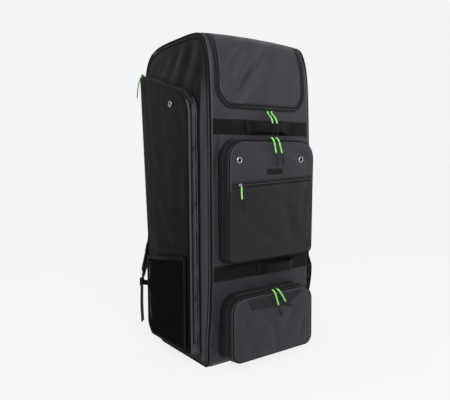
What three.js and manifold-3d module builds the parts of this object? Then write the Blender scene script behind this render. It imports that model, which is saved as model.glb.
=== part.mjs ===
// Upright cricket kit bag: a hollow cloth body with a U flap, front and side pockets, net bottle pockets,
// webbing straps with grab handles, zips with pulls, and a shoulder harness on the back.
// Millimetres, +Z up. X runs across the front, the front faces -Y. The origin is on the floor,
// under the middle of the body's base.

import * as THREE from 'three';
import { mergeVertices } from 'three/addons/utils/BufferGeometryUtils.js';
import Module from 'manifold-3d';

const wasm = await Module();
wasm.setup();

// Driving dimensions of the body
const BODY_WIDTH = 384;
const HALF_DEPTH = 165;
const BODY_HEIGHT = 958;
const BASE_THICKNESS = 3;
const WALL = 3;
const EDGE_CHAMFER = 6;
const FRONT_CROWN = 6;
const TOP_NARROWING = 0.03;
const SEAT_GAP = 0.3;
const SLIVER_SIZE = 0.1;
const PIPING_RADIUS = 2.5;

// Flap, bands and straps
const FLAP_HALF_WIDTH = 161;
const FLAP_SILL = 753;
const FLAP_CORNER = 54;
const FLAP_HINGE_Y = 95;
const ZIP_BAND_WIDTH = 15;
const TRIM_THICKNESS = 1.4;
const STRAP_WIDTH = 43;
const STRAP_THICKNESS = 2;
const UPPER_STRAP_Z = 694.5;
const LOWER_STRAP_Z = 279;
const STRAP_END_MARGIN = 9;
const HANDLE_WIDTH = 37;
const HANDLE_THICKNESS = 4;
const UPPER_HANDLE = { start: -71, end: 92, rise: 16 };
const LOWER_HANDLE = { start: -32, end: 116, rise: 22 };

// Pockets. Depth is how far the panel stands out, flare how far the gusset leans in on the way.
const POCKET_WALL = 2.5;
const SEAT_SINK = 30;
const MID_POCKET = { left: -167, right: 165, bottom: 306, top: 662, topRadius: 60, bottomRadius: 26,
  depth: 52, flare: 6, round: 8, crown: 4 };
const BOTTOM_POCKET = { left: -160, right: 157, bottom: 20, top: 219, topRadius: 52, bottomRadius: 34,
  depth: 55, flare: 5, round: 9, crown: 5 };
const SIDE_POCKET = { depth: 33, flare: 15, round: 6, crown: 4 };
const MESH_POCKET = { front: -88, back: 126, bottom: 42, mouthFront: 318, mouthBack: 288, wall: 1.6,
  fullnessLeft: 12, fullnessRight: 56 };
const NET_HOLE = { across: 13.5, up: 16.5, rows: 4, columns: 4 };

// Small parts
const EYELET_RADIUS = 8;
const EYELET_HOLE = 4.5;
const EYELET_THICKNESS = 2.4;
// Label and slanted zip as shares of the mid pocket's height, with the label's size in millimetres.
const LABEL = { up: 0.733, width: 61, height: 17 };
const SLANTED_ZIP = { sideMargin: 14, lowLeft: 0.593, highLeft: 0.66, lowRight: 0.638, highRight: 0.694 };
// Eyelets: inset from the mid pocket's sides and top, and a place on the side pockets as shares.
const EYELET_INSET = { left: 39, right: 61, top: 61.5 };
const SIDE_EYELET = { y: -0.055, z: 0.797 };
// The dark patch on the bottom pocket as shares of its half width and height.
const BOTTOM_PATCH = [
  { a: -0.571, b: 0.764 }, { a: 0.287, b: 0.734 }, { a: 0.666, b: 0.884 }, { a: 0.716, b: 0.935 },
  { a: -0.647, b: 0.935 },
];
const SLIDER = { length: 13, width: 8, height: 5 };
const SLIDER_PAIR = { width: 25, length: 22, proud: 3 };
const FRONT_SLIDER_INSET = 41;
const SLEEVE_RADIUS = 2.4;
const TAIL_RADIUS = 1.1;
// The back pad's height range is in shares of the body height.
const PAD = { sideMargin: 64, bottom: 0.195, top: 0.80, thickness: 12, corner: 50 };
const ADJUSTER = { height: 26, width: 34, thickness: 5, slotHeight: 5, slotWidth: 26 };
const WEBBING_WIDTH = 25;
const WEBBING_THICKNESS = 1.8;

// The body's side outline, from the front of the base up over the top and down the back.
// y is a share of the half depth, z a share of the body height.
const SIDE_OUTLINE = [
  { y: -0.85, z: 0 }, { y: -0.925, z: 0.016 }, { y: -0.945, z: 0.085 }, { y: -1.005, z: 0.175 },
  { y: -1.036, z: 0.30 }, { y: -1.036, z: 0.46 }, { y: -1.04, z: 0.62 }, { y: -1.02, z: 0.79 },
  { y: -0.985, z: 0.893 }, { y: -0.90, z: 0.954 }, { y: -0.76, z: 0.988 }, { y: -0.5, z: 0.999 },
  { y: 0, z: 1 }, { y: 0.5, z: 0.998 }, { y: 0.86, z: 0.990 }, { y: 1.12, z: 0.968 },
  { y: 1.27, z: 0.925 }, { y: 1.33, z: 0.86 }, { y: 1.32, z: 0.765 }, { y: 1.23, z: 0.62 },
  { y: 1.13, z: 0.46 }, { y: 1.03, z: 0.31 }, { y: 0.95, z: 0.14 }, { y: 0.91, z: 0.05 },
  { y: 0.80, z: 0.008 }, { y: 0.66, z: 0 },
];
const OUTLINE_STEPS = 38;

// Corners of the side pockets, from the front of the foot round: y and z are shares as above,
// and the radius is in millimetres.
const SIDE_POCKET_CORNERS = [
  { y: -0.715, z: 0.020, radius: 20 },
  { y: 0.83, z: 0.020, radius: 30 },
  { y: 1.03, z: 0.40, radius: 300 },
  { y: 1.26, z: 0.927, radius: 14 },
  { y: -0.69, z: 0.828, radius: 92 },
];

// Rings that build the body from its left panel to its right one: how much of the outline each ring
// of a side panel fills, and where the rings between the panels stand, as shares of the half width.
const PANEL_REACH = [0.35, 0.8, 0.92];
const ACROSS_STATIONS = [-0.5, 0, 0.5];

// Sunken folds. y or x and z are shares of the half depth or half width and of the height,
// turn is the fold's direction in degrees from level, and the rest are millimetres.
const SIDE_FOLDS = [
  { y: -0.30, z: 0.93, turn: 118, length: 120, width: 13, depth: 7 },
  { y: 0.05, z: 0.93, turn: 128, length: 110, width: 13, depth: 6 },
  { y: 0.42, z: 0.935, turn: 138, length: 100, width: 12, depth: 5 },
  { y: -0.72, z: 0.88, turn: 100, length: 130, width: 12, depth: 5 },
];
const FRONT_DENTS = [
  { x: -0.52, z: 0.905, turn: 62, length: 130, width: 26, depth: 6 },
  { x: -0.12, z: 0.90, turn: 58, length: 130, width: 24, depth: 4 },
  { x: 0.55, z: 0.93, turn: 70, length: 90, width: 24, depth: 3 },
];
const BOTTOM_POCKET_CREASES = [
  { a: -0.45, b: 0.62, turn: 128, length: 80, width: 16, depth: 6 },
  { a: -0.55, b: 0.22, turn: 135, length: 60, width: 15, depth: 5 },
  { a: 0.35, b: 0.5, turn: 60, length: 90, width: 20, depth: 4 },
];

// Each pull hangs from a slider: the points of its rubber sleeve and of the cord tail below it, counted
// from the slider's own seat. These routes are chosen by hand.
const PULLS = [
  { name: 'flap_a', seat: 'flap', sleeve: [[-7.5, -4.6, -9.3], [-7.5, -6, -16], [-7.5, -21, -31], [-7.5, -28, -47]],
    tail: [[-7.5, -28.3, -47.9], [-6.5, -29, -63], [-7.5, -29, -82]] },
  { name: 'flap_b', seat: 'flap', sleeve: [[7.5, -4.6, -9.3], [7.5, -6, -16], [8.5, -21, -31], [9.5, -28, -47]],
    tail: [[9.5, -28.3, -47.9], [8.5, -29, -63], [9.5, -29, -82]] },
  { name: 'mid_a', seat: 'mid', sleeve: [[-9, 2.6, 0.5], [-9, -4, 0], [-6, -8.6, -11], [2, -8.6, -43]],
    tail: [[2.2, -8.6, -43.9], [6, -8.6, -60], [9, -8.6, -79]] },
  { name: 'mid_b', seat: 'mid', sleeve: [[9, 2.6, 0.5], [9.5, -4, 0], [13, -8.6, -11], [24, -8.6, -43]],
    tail: [[24.3, -8.6, -43.9], [29, -8.6, -59], [33, -8.6, -78]] },
  { name: 'front', seat: 'front', sleeve: [[0, -5.6, -7.2], [0, -6.2, -16], [-1, -8, -29], [0, -8, -43]],
    tail: [[0.2, -8, -44], [5, -8, -60], [13, -8, -77]] },
  { name: 'bottom_a', seat: 'bottom', sleeve: [[-8.5, 2.6, 0.5], [-8.5, -3, 0], [-5.5, -9.6, -11], [5.5, -10.2, -45]],
    tail: [[5.9, -10.2, -45.9], [11.5, -10, -62], [20.5, -10, -79]] },
  { name: 'bottom_b', seat: 'bottom', sleeve: [[8.5, 2.6, 0.5], [9.5, -3, 0], [15.5, -9.6, -11], [33.5, -10.2, -39]],
    tail: [[34.4, -10.2, -39.8], [47.5, -10, -50], [65.5, -10, -58]] },
  { name: 'side_left', seat: 'side_left', sleeve: [[0, 8.4, 0.6], [0, 13, 0], [-1, 28, -16], [-1, 37, -33]],
    tail: [[-1, 37.4, -33.9], [-1, 42, -50], [-1, 46, -67]] },
  { name: 'side_right', seat: 'side_right', sleeve: [[0, 8.4, 0.6], [0, 13, 0], [1, 28, -16], [1, 37, -33]],
    tail: [[1, 37.4, -33.9], [1, 42, -50], [1, 46, -67]] },
];

// The left shoulder strap, from its upper end down to the adjuster. The right one mirrors it.
// x is a share of the half width, y of the half depth and z of the height. The rest is in millimetres.
const SHOULDER_STRAP = [
  { x: -0.323, y: 1.412, z: 0.782, width: 60, thickness: 8 },
  { x: -0.365, y: 1.515, z: 0.717, width: 62, thickness: 11 },
  { x: -0.479, y: 1.515, z: 0.612, width: 62, thickness: 11 },
  { x: -0.646, y: 1.430, z: 0.498, width: 60, thickness: 11 },
  { x: -0.818, y: 1.327, z: 0.393, width: 52, thickness: 9 },
  { x: -0.990, y: 1.291, z: 0.299, width: 38, thickness: 6 },
  { x: -1.104, y: 1.345, z: 0.209, width: 28, thickness: 4 },
];
const ADJUSTER_PLACE = { x: -1.109, y: 1.352, z: 0.195 };
const STRAP_LEAN = 22;
const ADJUSTER_TURN = 44;
const TAIL_DROP = 128;
const WING = { rootInset: 16, rootForward: 77, rootWidth: 62, tipWidth: 20, tipReach: 8, tipForward: 15, thickness: 3 };

const CLOTH = { color: 0x3c3d41, roughness: 0.62, metalness: 0 };
const DARK_CLOTH = { color: 0x26272a, roughness: 0.8, metalness: 0 };
const WEBBING = { color: 0x1c1c1e, roughness: 0.85, metalness: 0 };
const NET = { color: 0x141416, roughness: 0.9, metalness: 0 };
const NEON = { color: 0x7be86b, roughness: 0.5, metalness: 0 };
const SILVER = { color: 0xb9babb, roughness: 0.3, metalness: 1 };
const COATED_METAL = { color: 0x2a2a2c, roughness: 0.4, metalness: 0.7 };
const MOULDED = { color: 0x18181a, roughness: 0.5, metalness: 0 };

// Turns a list of points and triangles into a closed geometry whose faces point out.
function closedGeometry(points, triangles) {
  let volume = 0;
  for (const [a, b, c] of triangles) {
    volume += points[a].dot(new THREE.Vector3().crossVectors(points[b], points[c]));
  }
  const index = triangles.flatMap(([a, b, c]) => (volume > 0 ? [a, b, c] : [a, c, b]));
  const geometry = new THREE.BufferGeometry().setFromPoints(points);
  geometry.setIndex(index);
  return geometry;
}

// Joins rings of equal length into one closed skin, each end shut by a fan to the ring's middle.
function loft(rings) {
  const count = rings[0].length;
  const points = rings.flat();
  const triangles = [];
  for (let ring = 0; ring + 1 < rings.length; ring += 1) {
    for (let step = 0; step < count; step += 1) {
      const a = ring * count + step;
      const b = ring * count + (step + 1) % count;
      triangles.push([a, b, b + count], [a, b + count, a + count]);
    }
  }
  for (const [ring, flip] of [[0, true], [rings.length - 1, false]]) {
    const middle = new THREE.Vector3();
    rings[ring].forEach((point) => middle.addScaledVector(point, 1 / count));
    const centre = points.push(middle) - 1;
    for (let step = 0; step < count; step += 1) {
      const a = ring * count + step;
      const b = ring * count + (step + 1) % count;
      triangles.push(flip ? [b, a, centre] : [a, b, centre]);
    }
  }
  return closedGeometry(points, triangles);
}

function toSolid(geometry) {
  const bare = new THREE.BufferGeometry();
  bare.setAttribute('position', geometry.getAttribute('position'));
  if (geometry.index) {
    bare.setIndex(geometry.index);
  }
  const merged = mergeVertices(bare, 1e-4);
  const index = merged.index.array;
  const triVerts = [];
  for (let i = 0; i < index.length; i += 3) {
    const [a, b, c] = [index[i], index[i + 1], index[i + 2]];
    if (a !== b && b !== c && a !== c) {
      triVerts.push(a, b, c);
    }
  }
  const vertProperties = new Float32Array(merged.getAttribute('position').array);
  return new wasm.Manifold(new wasm.Mesh({ numProp: 3, vertProperties, triVerts: new Uint32Array(triVerts) }));
}

function toGeometry(solid) {
  const mesh = solid.simplify(SLIVER_SIZE).getMesh();
  const geometry = new THREE.BufferGeometry();
  geometry.setAttribute('position', new THREE.BufferAttribute(new Float32Array(mesh.vertProperties), 3));
  geometry.setIndex(new THREE.BufferAttribute(new Uint32Array(mesh.triVerts), 1));
  return geometry;
}

// The largest of the bodies that a cut leaves, without its offcuts.
function mainBody(solid) {
  const bodies = solid.decompose();
  return bodies.length ? bodies.reduce((best, body) => (body.volume() > best.volume() ? body : best)) : solid;
}

const kitBag = new THREE.Group();

function addPiece(name, shape, finish) {
  const geometry = shape.isBufferGeometry ? shape : toGeometry(shape);
  geometry.computeVertexNormals();
  const mesh = new THREE.Mesh(geometry, new THREE.MeshStandardMaterial(finish));
  mesh.name = name;
  kitBag.add(mesh);
}

// Outline of a polygon with rounded corners, each edge moved inwards by inset.
function roundedOutline(corners, inset = 0, arcSteps = 3, edgeSteps = 2) {
  const count = corners.length;
  const at = (i) => corners[(i + count) % count];
  const movedEdge = (i) => {
    const from = new THREE.Vector2(at(i).a, at(i).b);
    const along = new THREE.Vector2(at(i + 1).a, at(i + 1).b).sub(from).normalize();
    const inward = new THREE.Vector2(-along.y, along.x);
    return { from: from.addScaledVector(inward, inset), along, inward };
  };
  const corner = (i) => {
    const before = movedEdge(i - 1);
    const after = movedEdge(i);
    const gap = after.from.clone().sub(before.from);
    const cross = before.along.cross(after.along);
    const point = before.from.clone().addScaledVector(before.along, gap.cross(after.along) / cross);
    const turn = Math.asin(Math.min(1, cross));
    const radius = Math.max(at(i).radius - inset, 0.5);
    const reach = radius * Math.tan(turn / 2);
    const centre = point.clone().addScaledVector(before.along, -reach).addScaledVector(before.inward, radius);
    const start = Math.atan2(-before.inward.y, -before.inward.x);
    return Array.from({ length: arcSteps + 1 }, (_, step) => {
      const angle = start + turn * step / arcSteps;
      return new THREE.Vector2(centre.x + radius * Math.cos(angle), centre.y + radius * Math.sin(angle));
    });
  };
  const arcs = corners.map((_, i) => corner(i));
  return arcs.flatMap((arc, i) => {
    const next = arcs[(i + 1) % count][0];
    const last = arc[arc.length - 1];
    const between = Array.from({ length: edgeSteps - 1 }, (_, k) => last.clone().lerp(next, (k + 1) / edgeSteps));
    return [...arc, ...between];
  });
}

function boxSolid(low, high) {
  const size = high.map((value, axis) => value - low[axis]);
  const geometry = new THREE.BoxGeometry(...size);
  geometry.translate(...low.map((value, axis) => value + size[axis] / 2));
  return toSolid(geometry);
}

// Straight prisms of a flat outline, named after the plane that the outline is drawn in.
function prismXZ(outline, yFrom, yTo) {
  const geometry = new THREE.ExtrudeGeometry(new THREE.Shape(outline), { depth: yTo - yFrom, bevelEnabled: false });
  geometry.rotateX(Math.PI / 2);
  geometry.translate(0, yTo, 0);
  return toSolid(geometry);
}

function prismXY(outline, zFrom, zTo) {
  const geometry = new THREE.ExtrudeGeometry(new THREE.Shape(outline), { depth: zTo - zFrom, bevelEnabled: false });
  geometry.translate(0, 0, zFrom);
  return toSolid(geometry);
}

// A soft sunken line: deepest at its middle, fading along its length and across its width.
function foldDepth(fold, da, db) {
  const turn = THREE.MathUtils.degToRad(fold.turn);
  const along = da * Math.cos(turn) + db * Math.sin(turn);
  const across = -da * Math.sin(turn) + db * Math.cos(turn);
  return fold.depth * Math.exp(-((2 * along / fold.length) ** 2)) * Math.exp(-((across / fold.width) ** 2));
}

// The body's outline as points with outward directions in the YZ plane, standing on the base panel.
const BASE_TOP = BASE_THICKNESS + SEAT_GAP;

function bodyOutline() {
  const rows = SIDE_OUTLINE.map(({ y, z }) => new THREE.Vector2(y * HALF_DEPTH, BASE_TOP + z * BODY_HEIGHT));
  const curve = new THREE.SplineCurve(rows);
  const points = curve.getPoints(OUTLINE_STEPS);
  points.forEach((point) => {
    point.y = Math.max(point.y, BASE_TOP);
  });
  return points.map((point, i) => {
    const before = points[(i + points.length - 1) % points.length];
    const after = points[(i + 1) % points.length];
    const along = after.clone().sub(before).normalize();
    const out = new THREE.Vector2(-along.y, along.x);
    return { point, out, underneath: out.y < -0.3 };
  });
}

const OUTLINE = bodyOutline();
const RIM_SHARE = 1 - EDGE_CHAMFER / (BODY_WIDTH / 2);
const PANEL_MIDDLE = new THREE.Vector2(0.1 * HALF_DEPTH, BASE_TOP + 0.5 * BODY_HEIGHT);

function halfWidthAt(z) {
  return BODY_WIDTH / 2 * (1 - TOP_NARROWING * (z - BASE_TOP) / BODY_HEIGHT);
}

function sideFold(y, z) {
  return SIDE_FOLDS.reduce((sum, fold) => (
    sum + foldDepth(fold, y - fold.y * HALF_DEPTH, z - BASE_TOP - fold.z * BODY_HEIGHT)), 0);
}

function frontDent(x, z) {
  return FRONT_DENTS.reduce((sum, dent) => (
    sum + foldDepth(dent, x - dent.x * BODY_WIDTH / 2, z - BASE_TOP - dent.z * BODY_HEIGHT)), 0);
}

// One ring of the body at a share across it. grow moves the whole form outwards.
function bodyRing(across, inset, reach, grow) {
  const isPanel = Math.abs(across) === 1;
  return OUTLINE.map(({ point, out, underneath }) => {
    const half = halfWidthAt(point.y);
    const crown = underneath || isPanel ? 0 : FRONT_CROWN * (1 - (across / RIM_SHARE) ** 2);
    const dent = out.x < -0.4 && !isPanel ? frontDent(across * half, point.y) : 0;
    const rim = point.clone().addScaledVector(out, grow + crown - inset - dent);
    const placed = PANEL_MIDDLE.clone().lerp(rim, reach);
    const panelHalf = halfWidthAt(placed.y);
    const side = isPanel ? Math.sign(across) * (panelHalf + grow - (reach < 1 ? sideFold(placed.x, placed.y) : 0))
      : across * half;
    return new THREE.Vector3(side, placed.x, placed.y);
  });
}

function bodyForm(grow) {
  const leftPanel = PANEL_REACH.map((reach) => bodyRing(-1, EDGE_CHAMFER, reach, grow));
  const rightPanel = PANEL_REACH.map((reach) => bodyRing(1, EDGE_CHAMFER, reach, grow)).reverse();
  const middle = [-RIM_SHARE, ...ACROSS_STATIONS, RIM_SHARE].map((across) => {
    const ring = bodyRing(across, 0, 1, grow);
    const isRim = Math.abs(across) === RIM_SHARE;
    ring.forEach((point) => {
      point.x += isRim ? Math.sign(across) * grow : 0;
    });
    return ring;
  });
  return toSolid(loft([...leftPanel, bodyRing(-1, EDGE_CHAMFER, 1, grow), ...middle,
    bodyRing(1, EDGE_CHAMFER, 1, grow), ...rightPanel]));
}

// A thin skin lying on the body, from just clear of it out to a thickness.
function bodySkin(thickness, clearance = SEAT_GAP) {
  return bodyForm(clearance + thickness).subtract(bodyForm(clearance));
}

function flapPrism(inset, hingeY) {
  const high = 2 * BODY_HEIGHT;
  const corners = [
    { a: -FLAP_HALF_WIDTH, b: FLAP_SILL, radius: FLAP_CORNER },
    { a: FLAP_HALF_WIDTH, b: FLAP_SILL, radius: FLAP_CORNER },
    { a: FLAP_HALF_WIDTH, b: high, radius: 1 },
    { a: -FLAP_HALF_WIDTH, b: high, radius: 1 },
  ];
  return prismXZ(roundedOutline(corners, inset, 6, 1), -3 * HALF_DEPTH, hingeY);
}

const BODY_SEAT = bodyForm(SEAT_GAP);

function addBody() {
  const shell = bodyForm(0).subtract(bodyForm(-WALL));
  addPiece('body_shell', shell.subtract(flapPrism(0, FLAP_HINGE_Y)), CLOTH);
  addPiece('top_flap', shell.intersect(flapPrism(SEAT_GAP, FLAP_HINGE_Y - SEAT_GAP)), CLOTH);
  const band = bodySkin(TRIM_THICKNESS)
    .intersect(flapPrism(-ZIP_BAND_WIDTH / 2, FLAP_HINGE_Y))
    .subtract(flapPrism(ZIP_BAND_WIDTH / 2, FLAP_HINGE_Y + ZIP_BAND_WIDTH));
  addPiece('flap_zip_band', band, WEBBING);
}

function addBasePanel() {
  const half = BODY_WIDTH / 2 - EDGE_CHAMFER - SEAT_GAP;
  const front = SIDE_OUTLINE[0].y * HALF_DEPTH;
  const back = SIDE_OUTLINE[SIDE_OUTLINE.length - 1].y * HALF_DEPTH;
  const corners = [
    { a: -half, b: front, radius: 14 }, { a: half, b: front, radius: 14 },
    { a: half, b: back, radius: 14 }, { a: -half, b: back, radius: 14 },
  ];
  addPiece('base_panel', prismXY(roundedOutline(corners, 0, 3, 1), 0, BASE_THICKNESS), MOULDED);
}

// A round cord sewn along the rim of a side panel, all the way round.
function addPiping(name, side) {
  const sides = 5;
  const lift = (PIPING_RADIUS + SEAT_GAP) * Math.SQRT1_2 - EDGE_CHAMFER / 2;
  const rings = OUTLINE.map(({ point, out }) => {
    const centre = point.clone().addScaledVector(out, lift);
    const x = side * (halfWidthAt(point.y) + lift);
    return Array.from({ length: sides }, (_, step) => {
      const angle = 2 * Math.PI * step / sides;
      const spot = centre.clone().addScaledVector(out, PIPING_RADIUS * Math.sin(angle));
      return new THREE.Vector3(x + PIPING_RADIUS * Math.cos(angle), spot.x, spot.y);
    });
  });
  const points = rings.flat();
  const triangles = [];
  rings.forEach((_, ring) => {
    for (let step = 0; step < sides; step += 1) {
      const [a, b] = [step, (step + 1) % sides].map((s) => ring * sides + s);
      const next = (ring + 1) % rings.length;
      const [d, c] = [step, (step + 1) % sides].map((s) => next * sides + s);
      triangles.push([a, b, c], [a, c, d]);
    }
  });
  addPiece(name, closedGeometry(points, triangles), WEBBING);
}

function addStrap(name, z) {
  const half = halfWidthAt(z) - STRAP_END_MARGIN;
  const cutter = boxSolid([-half, -3 * HALF_DEPTH, z - STRAP_WIDTH / 2], [half, 0, z + STRAP_WIDTH / 2]);
  addPiece(name, bodySkin(STRAP_THICKNESS).intersect(cutter), WEBBING);
}

// A flat band through sections, each with a middle, a width and a thickness and the ways that they run.
function band(sections) {
  return toSolid(loft(sections.map(({ centre, across, out, width, thickness }) => (
    [[-1, -1], [1, -1], [1, 1], [-1, 1]].map(([u, v]) => centre.clone()
      .addScaledVector(across, u * width / 2)
      .addScaledVector(out, v * thickness / 2))))));
}

const HANDLE_ARCH = [
  { along: 0, rise: 0 }, { along: 0.06, rise: 0 }, { along: 0.14, rise: 0.55 }, { along: 0.26, rise: 0.92 },
  { along: 0.5, rise: 1 }, { along: 0.74, rise: 0.92 }, { along: 0.86, rise: 0.55 }, { along: 0.94, rise: 0 },
  { along: 1, rise: 0 },
];

function addHandle(name, handle, z) {
  const seat = bodyForm(2 * SEAT_GAP + STRAP_THICKNESS);
  const face = 1.036 * HALF_DEPTH + FRONT_CROWN + STRAP_THICKNESS;
  const sections = HANDLE_ARCH.map(({ along, rise }) => ({
    centre: new THREE.Vector3(THREE.MathUtils.lerp(handle.start, handle.end, along),
      -face - rise * handle.rise, z),
    across: new THREE.Vector3(0, 0, 1),
    out: new THREE.Vector3(0, -1, 0),
    width: HANDLE_WIDTH,
    thickness: HANDLE_THICKNESS,
  }));
  addPiece(name, band(sections).subtract(seat), WEBBING);
}

// A pocket's filled form. place turns outline coordinates and an outward distance into a point.
function pocketForm(pocket, grow) {
  const { corners, depthAt, flare, round, crown, creases, place } = pocket;
  const ring = (inset, outAt) => roundedOutline(corners, inset - grow).map((spot) => (
    place(spot.x, spot.y, outAt(spot))));
  const panel = roundedOutline(corners, flare + round - grow);
  const middle = new THREE.Vector2();
  panel.forEach((spot) => middle.addScaledVector(spot, 1 / panel.length));
  const panelRing = (reach) => panel.map((spot) => {
    const at = middle.clone().lerp(spot, reach);
    const sunk = creases.reduce((sum, fold) => sum + foldDepth(fold, at.x - fold.a, at.y - fold.b), 0);
    return place(at.x, at.y, depthAt(at) + grow + crown * (1 - reach * reach) - (reach < 1 ? sunk : 0));
  });
  return toSolid(loft([
    ring(0, () => -SEAT_SINK),
    ring(flare, (spot) => depthAt(spot) - round),
    ring(flare + 0.3 * round, (spot) => depthAt(spot) - 0.3 * round + grow),
    panelRing(1),
    panelRing(0.6),
  ]));
}

function pocketShell(pocket) {
  return pocketForm(pocket, 0).subtract(pocketForm(pocket, -POCKET_WALL)).subtract(BODY_SEAT);
}

function pocketSkin(pocket, thickness = TRIM_THICKNESS) {
  return pocketForm(pocket, SEAT_GAP + thickness).subtract(pocketForm(pocket, SEAT_GAP)).subtract(BODY_SEAT);
}

const FRONT_PLANE = 1.036 * HALF_DEPTH;

function frontPocket(sizes, depthAt, creaseRows) {
  const { left, right, bottom, top, topRadius, bottomRadius } = sizes;
  const [halfWidth, height] = [(right - left) / 2, top - bottom];
  return {
    ...sizes,
    corners: [
      { a: left, b: bottom, radius: bottomRadius }, { a: right, b: bottom, radius: bottomRadius },
      { a: right, b: top, radius: topRadius }, { a: left, b: top, radius: topRadius },
    ],
    depthAt,
    creases: creaseRows.map((row) => ({
      ...row, a: (left + right) / 2 + row.a * halfWidth, b: bottom + row.b * height })),
    place: (a, b, out) => new THREE.Vector3(a, -FRONT_PLANE - out, b),
  };
}

const midPocket = frontPocket(MID_POCKET, ({ y }) => (
  MID_POCKET.depth * (0.86 + 0.14 * (y - MID_POCKET.bottom) / (MID_POCKET.top - MID_POCKET.bottom))), []);
const bottomPocket = frontPocket(BOTTOM_POCKET, () => BOTTOM_POCKET.depth, BOTTOM_POCKET_CREASES);

function sidePocket(side) {
  const corners = SIDE_POCKET_CORNERS.map(({ y, z, radius }) => (
    { a: y * HALF_DEPTH, b: BASE_TOP + z * BODY_HEIGHT, radius }));
  return { ...SIDE_POCKET, corners, depthAt: () => SIDE_POCKET.depth, creases: [],
    place: (a, b, out) => new THREE.Vector3(side * (halfWidthAt(b) + out), a, b) };
}

const sidePockets = { left: sidePocket(-1), right: sidePocket(1) };

// The zip round a pocket's gusset: the part of its skin between two distances out from the body.
function gussetZip(pocket, fromOut, toOut, slab) {
  return pocketSkin(pocket).intersect(slab(fromOut, toOut));
}

function frontSlab(lowest) {
  const wide = BODY_WIDTH;
  return (fromOut, toOut) => boxSolid([-wide, -FRONT_PLANE - toOut, lowest],
    [wide, -FRONT_PLANE - fromOut, BODY_HEIGHT]);
}

// A slab that leans with the side panel, for the side pockets' zips.
function sideSlab(side, lowest) {
  return (fromOut, toOut) => {
    const corner = (y, z, out) => new THREE.Vector3(side * (halfWidthAt(z) + out), y, z);
    const section = (y) => [corner(y, lowest, fromOut), corner(y, BODY_HEIGHT, fromOut),
      corner(y, BODY_HEIGHT, toOut), corner(y, lowest, toOut)];
    return toSolid(loft([section(-2 * HALF_DEPTH), section(2 * HALF_DEPTH)]));
  };
}

function panelPatch(pocket, outline) {
  return pocketSkin(pocket).intersect(prismXZ(outline, -3 * HALF_DEPTH, -FRONT_PLANE - pocket.depth / 2));
}

function addMidPocket() {
  addPiece('mid_pocket', pocketShell(midPocket), CLOTH);
  addPiece('mid_zip', gussetZip(midPocket, 16, 36, frontSlab(LOWER_STRAP_Z + STRAP_WIDTH)), WEBBING);
  const { left, right, bottom, top } = MID_POCKET;
  const up = (share) => THREE.MathUtils.lerp(bottom, top, share);
  const { sideMargin, lowLeft, highLeft, lowRight, highRight } = SLANTED_ZIP;
  const slantedBand = [[left + sideMargin, up(lowLeft)], [right - sideMargin, up(lowRight)],
    [right - sideMargin, up(highRight)], [left + sideMargin, up(highLeft)]];
  addPiece('front_zip_band', panelPatch(midPocket, slantedBand.map((p) => new THREE.Vector2(...p))), DARK_CLOTH);
  const corners = [[-1, -1], [1, -1], [1, 1], [-1, 1]].map(([u, v]) => new THREE.Vector2(
    (left + right) / 2 + u * LABEL.width / 2, up(LABEL.up) + v * LABEL.height / 2));
  addPiece('label_patch', panelPatch(midPocket, corners), MOULDED);
}

function addBottomPocket() {
  addPiece('bottom_pocket', pocketShell(bottomPocket), CLOTH);
  addPiece('bottom_zip', gussetZip(bottomPocket, 18, 38, frontSlab(BOTTOM_POCKET.bottom + 30)), WEBBING);
  const { left, right, bottom, top } = BOTTOM_POCKET;
  const patch = BOTTOM_PATCH.map(({ a, b }) => new THREE.Vector2(
    (left + right) / 2 + a * (right - left) / 2, THREE.MathUtils.lerp(bottom, top, b)));
  addPiece('bottom_patch', panelPatch(bottomPocket, patch), WEBBING);
}

// A net pocket: a curved sheet sewn to the side pocket's panel along its front, bottom and back edges
// and standing open at the mouth.
function meshSheet(side, fullness, inner) {
  const { front, back, bottom, mouthFront, mouthBack, wall } = MESH_POCKET;
  const [columns, rows] = [6, 5];
  const seat = SIDE_POCKET.depth + wall + 2.9;
  return Array.from({ length: rows + 1 }, (_, row) => Array.from({ length: columns + 1 }, (_, column) => {
    const u = column / columns;
    const v = row / rows;
    const mouth = THREE.MathUtils.lerp(mouthFront, mouthBack, u);
    const swell = Math.sin(Math.PI * u) ** 0.55 * Math.sin(Math.PI / 2 * Math.min(1, 1.5 * v)) ** 0.8;
    const full = fullness * (v > 0.7 ? 1 - 0.55 * (v - 0.7) / 0.3 : 1);
    const out = seat + (1.5 + full) * swell - (inner ? wall : 0);
    const z = THREE.MathUtils.lerp(bottom, mouth, v);
    const y = THREE.MathUtils.lerp(front, back, u);
    return new THREE.Vector3(side * (halfWidthAt(z) + out), y, z);
  }));
}

function meshPocket(side, fullness) {
  const outer = meshSheet(side, fullness, false);
  const inner = meshSheet(side, fullness, true);
  const ring = (row) => [...outer[row], ...inner[row].slice().reverse()];
  const width = outer[0].length;
  const points = outer.flatMap((_, row) => ring(row));
  const count = 2 * width;
  const triangles = [];
  for (let row = 0; row + 1 < outer.length; row += 1) {
    for (let step = 0; step < count; step += 1) {
      const [a, b] = [row * count + step, row * count + (step + 1) % count];
      triangles.push([a, b, b + count], [a, b + count, a + count]);
    }
  }
  for (const [row, flip] of [[0, true], [outer.length - 1, false]]) {
    for (let step = 0; step + 1 < width; step += 1) {
      const [a, b] = [row * count + step, row * count + step + 1];
      const [d, c] = [row * count + count - 1 - step, row * count + count - 2 - step];
      triangles.push(...(flip ? [[b, a, d], [b, d, c]] : [[a, b, c], [a, c, d]]));
    }
  }
  return toSolid(closedGeometry(points, triangles));
}

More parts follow.
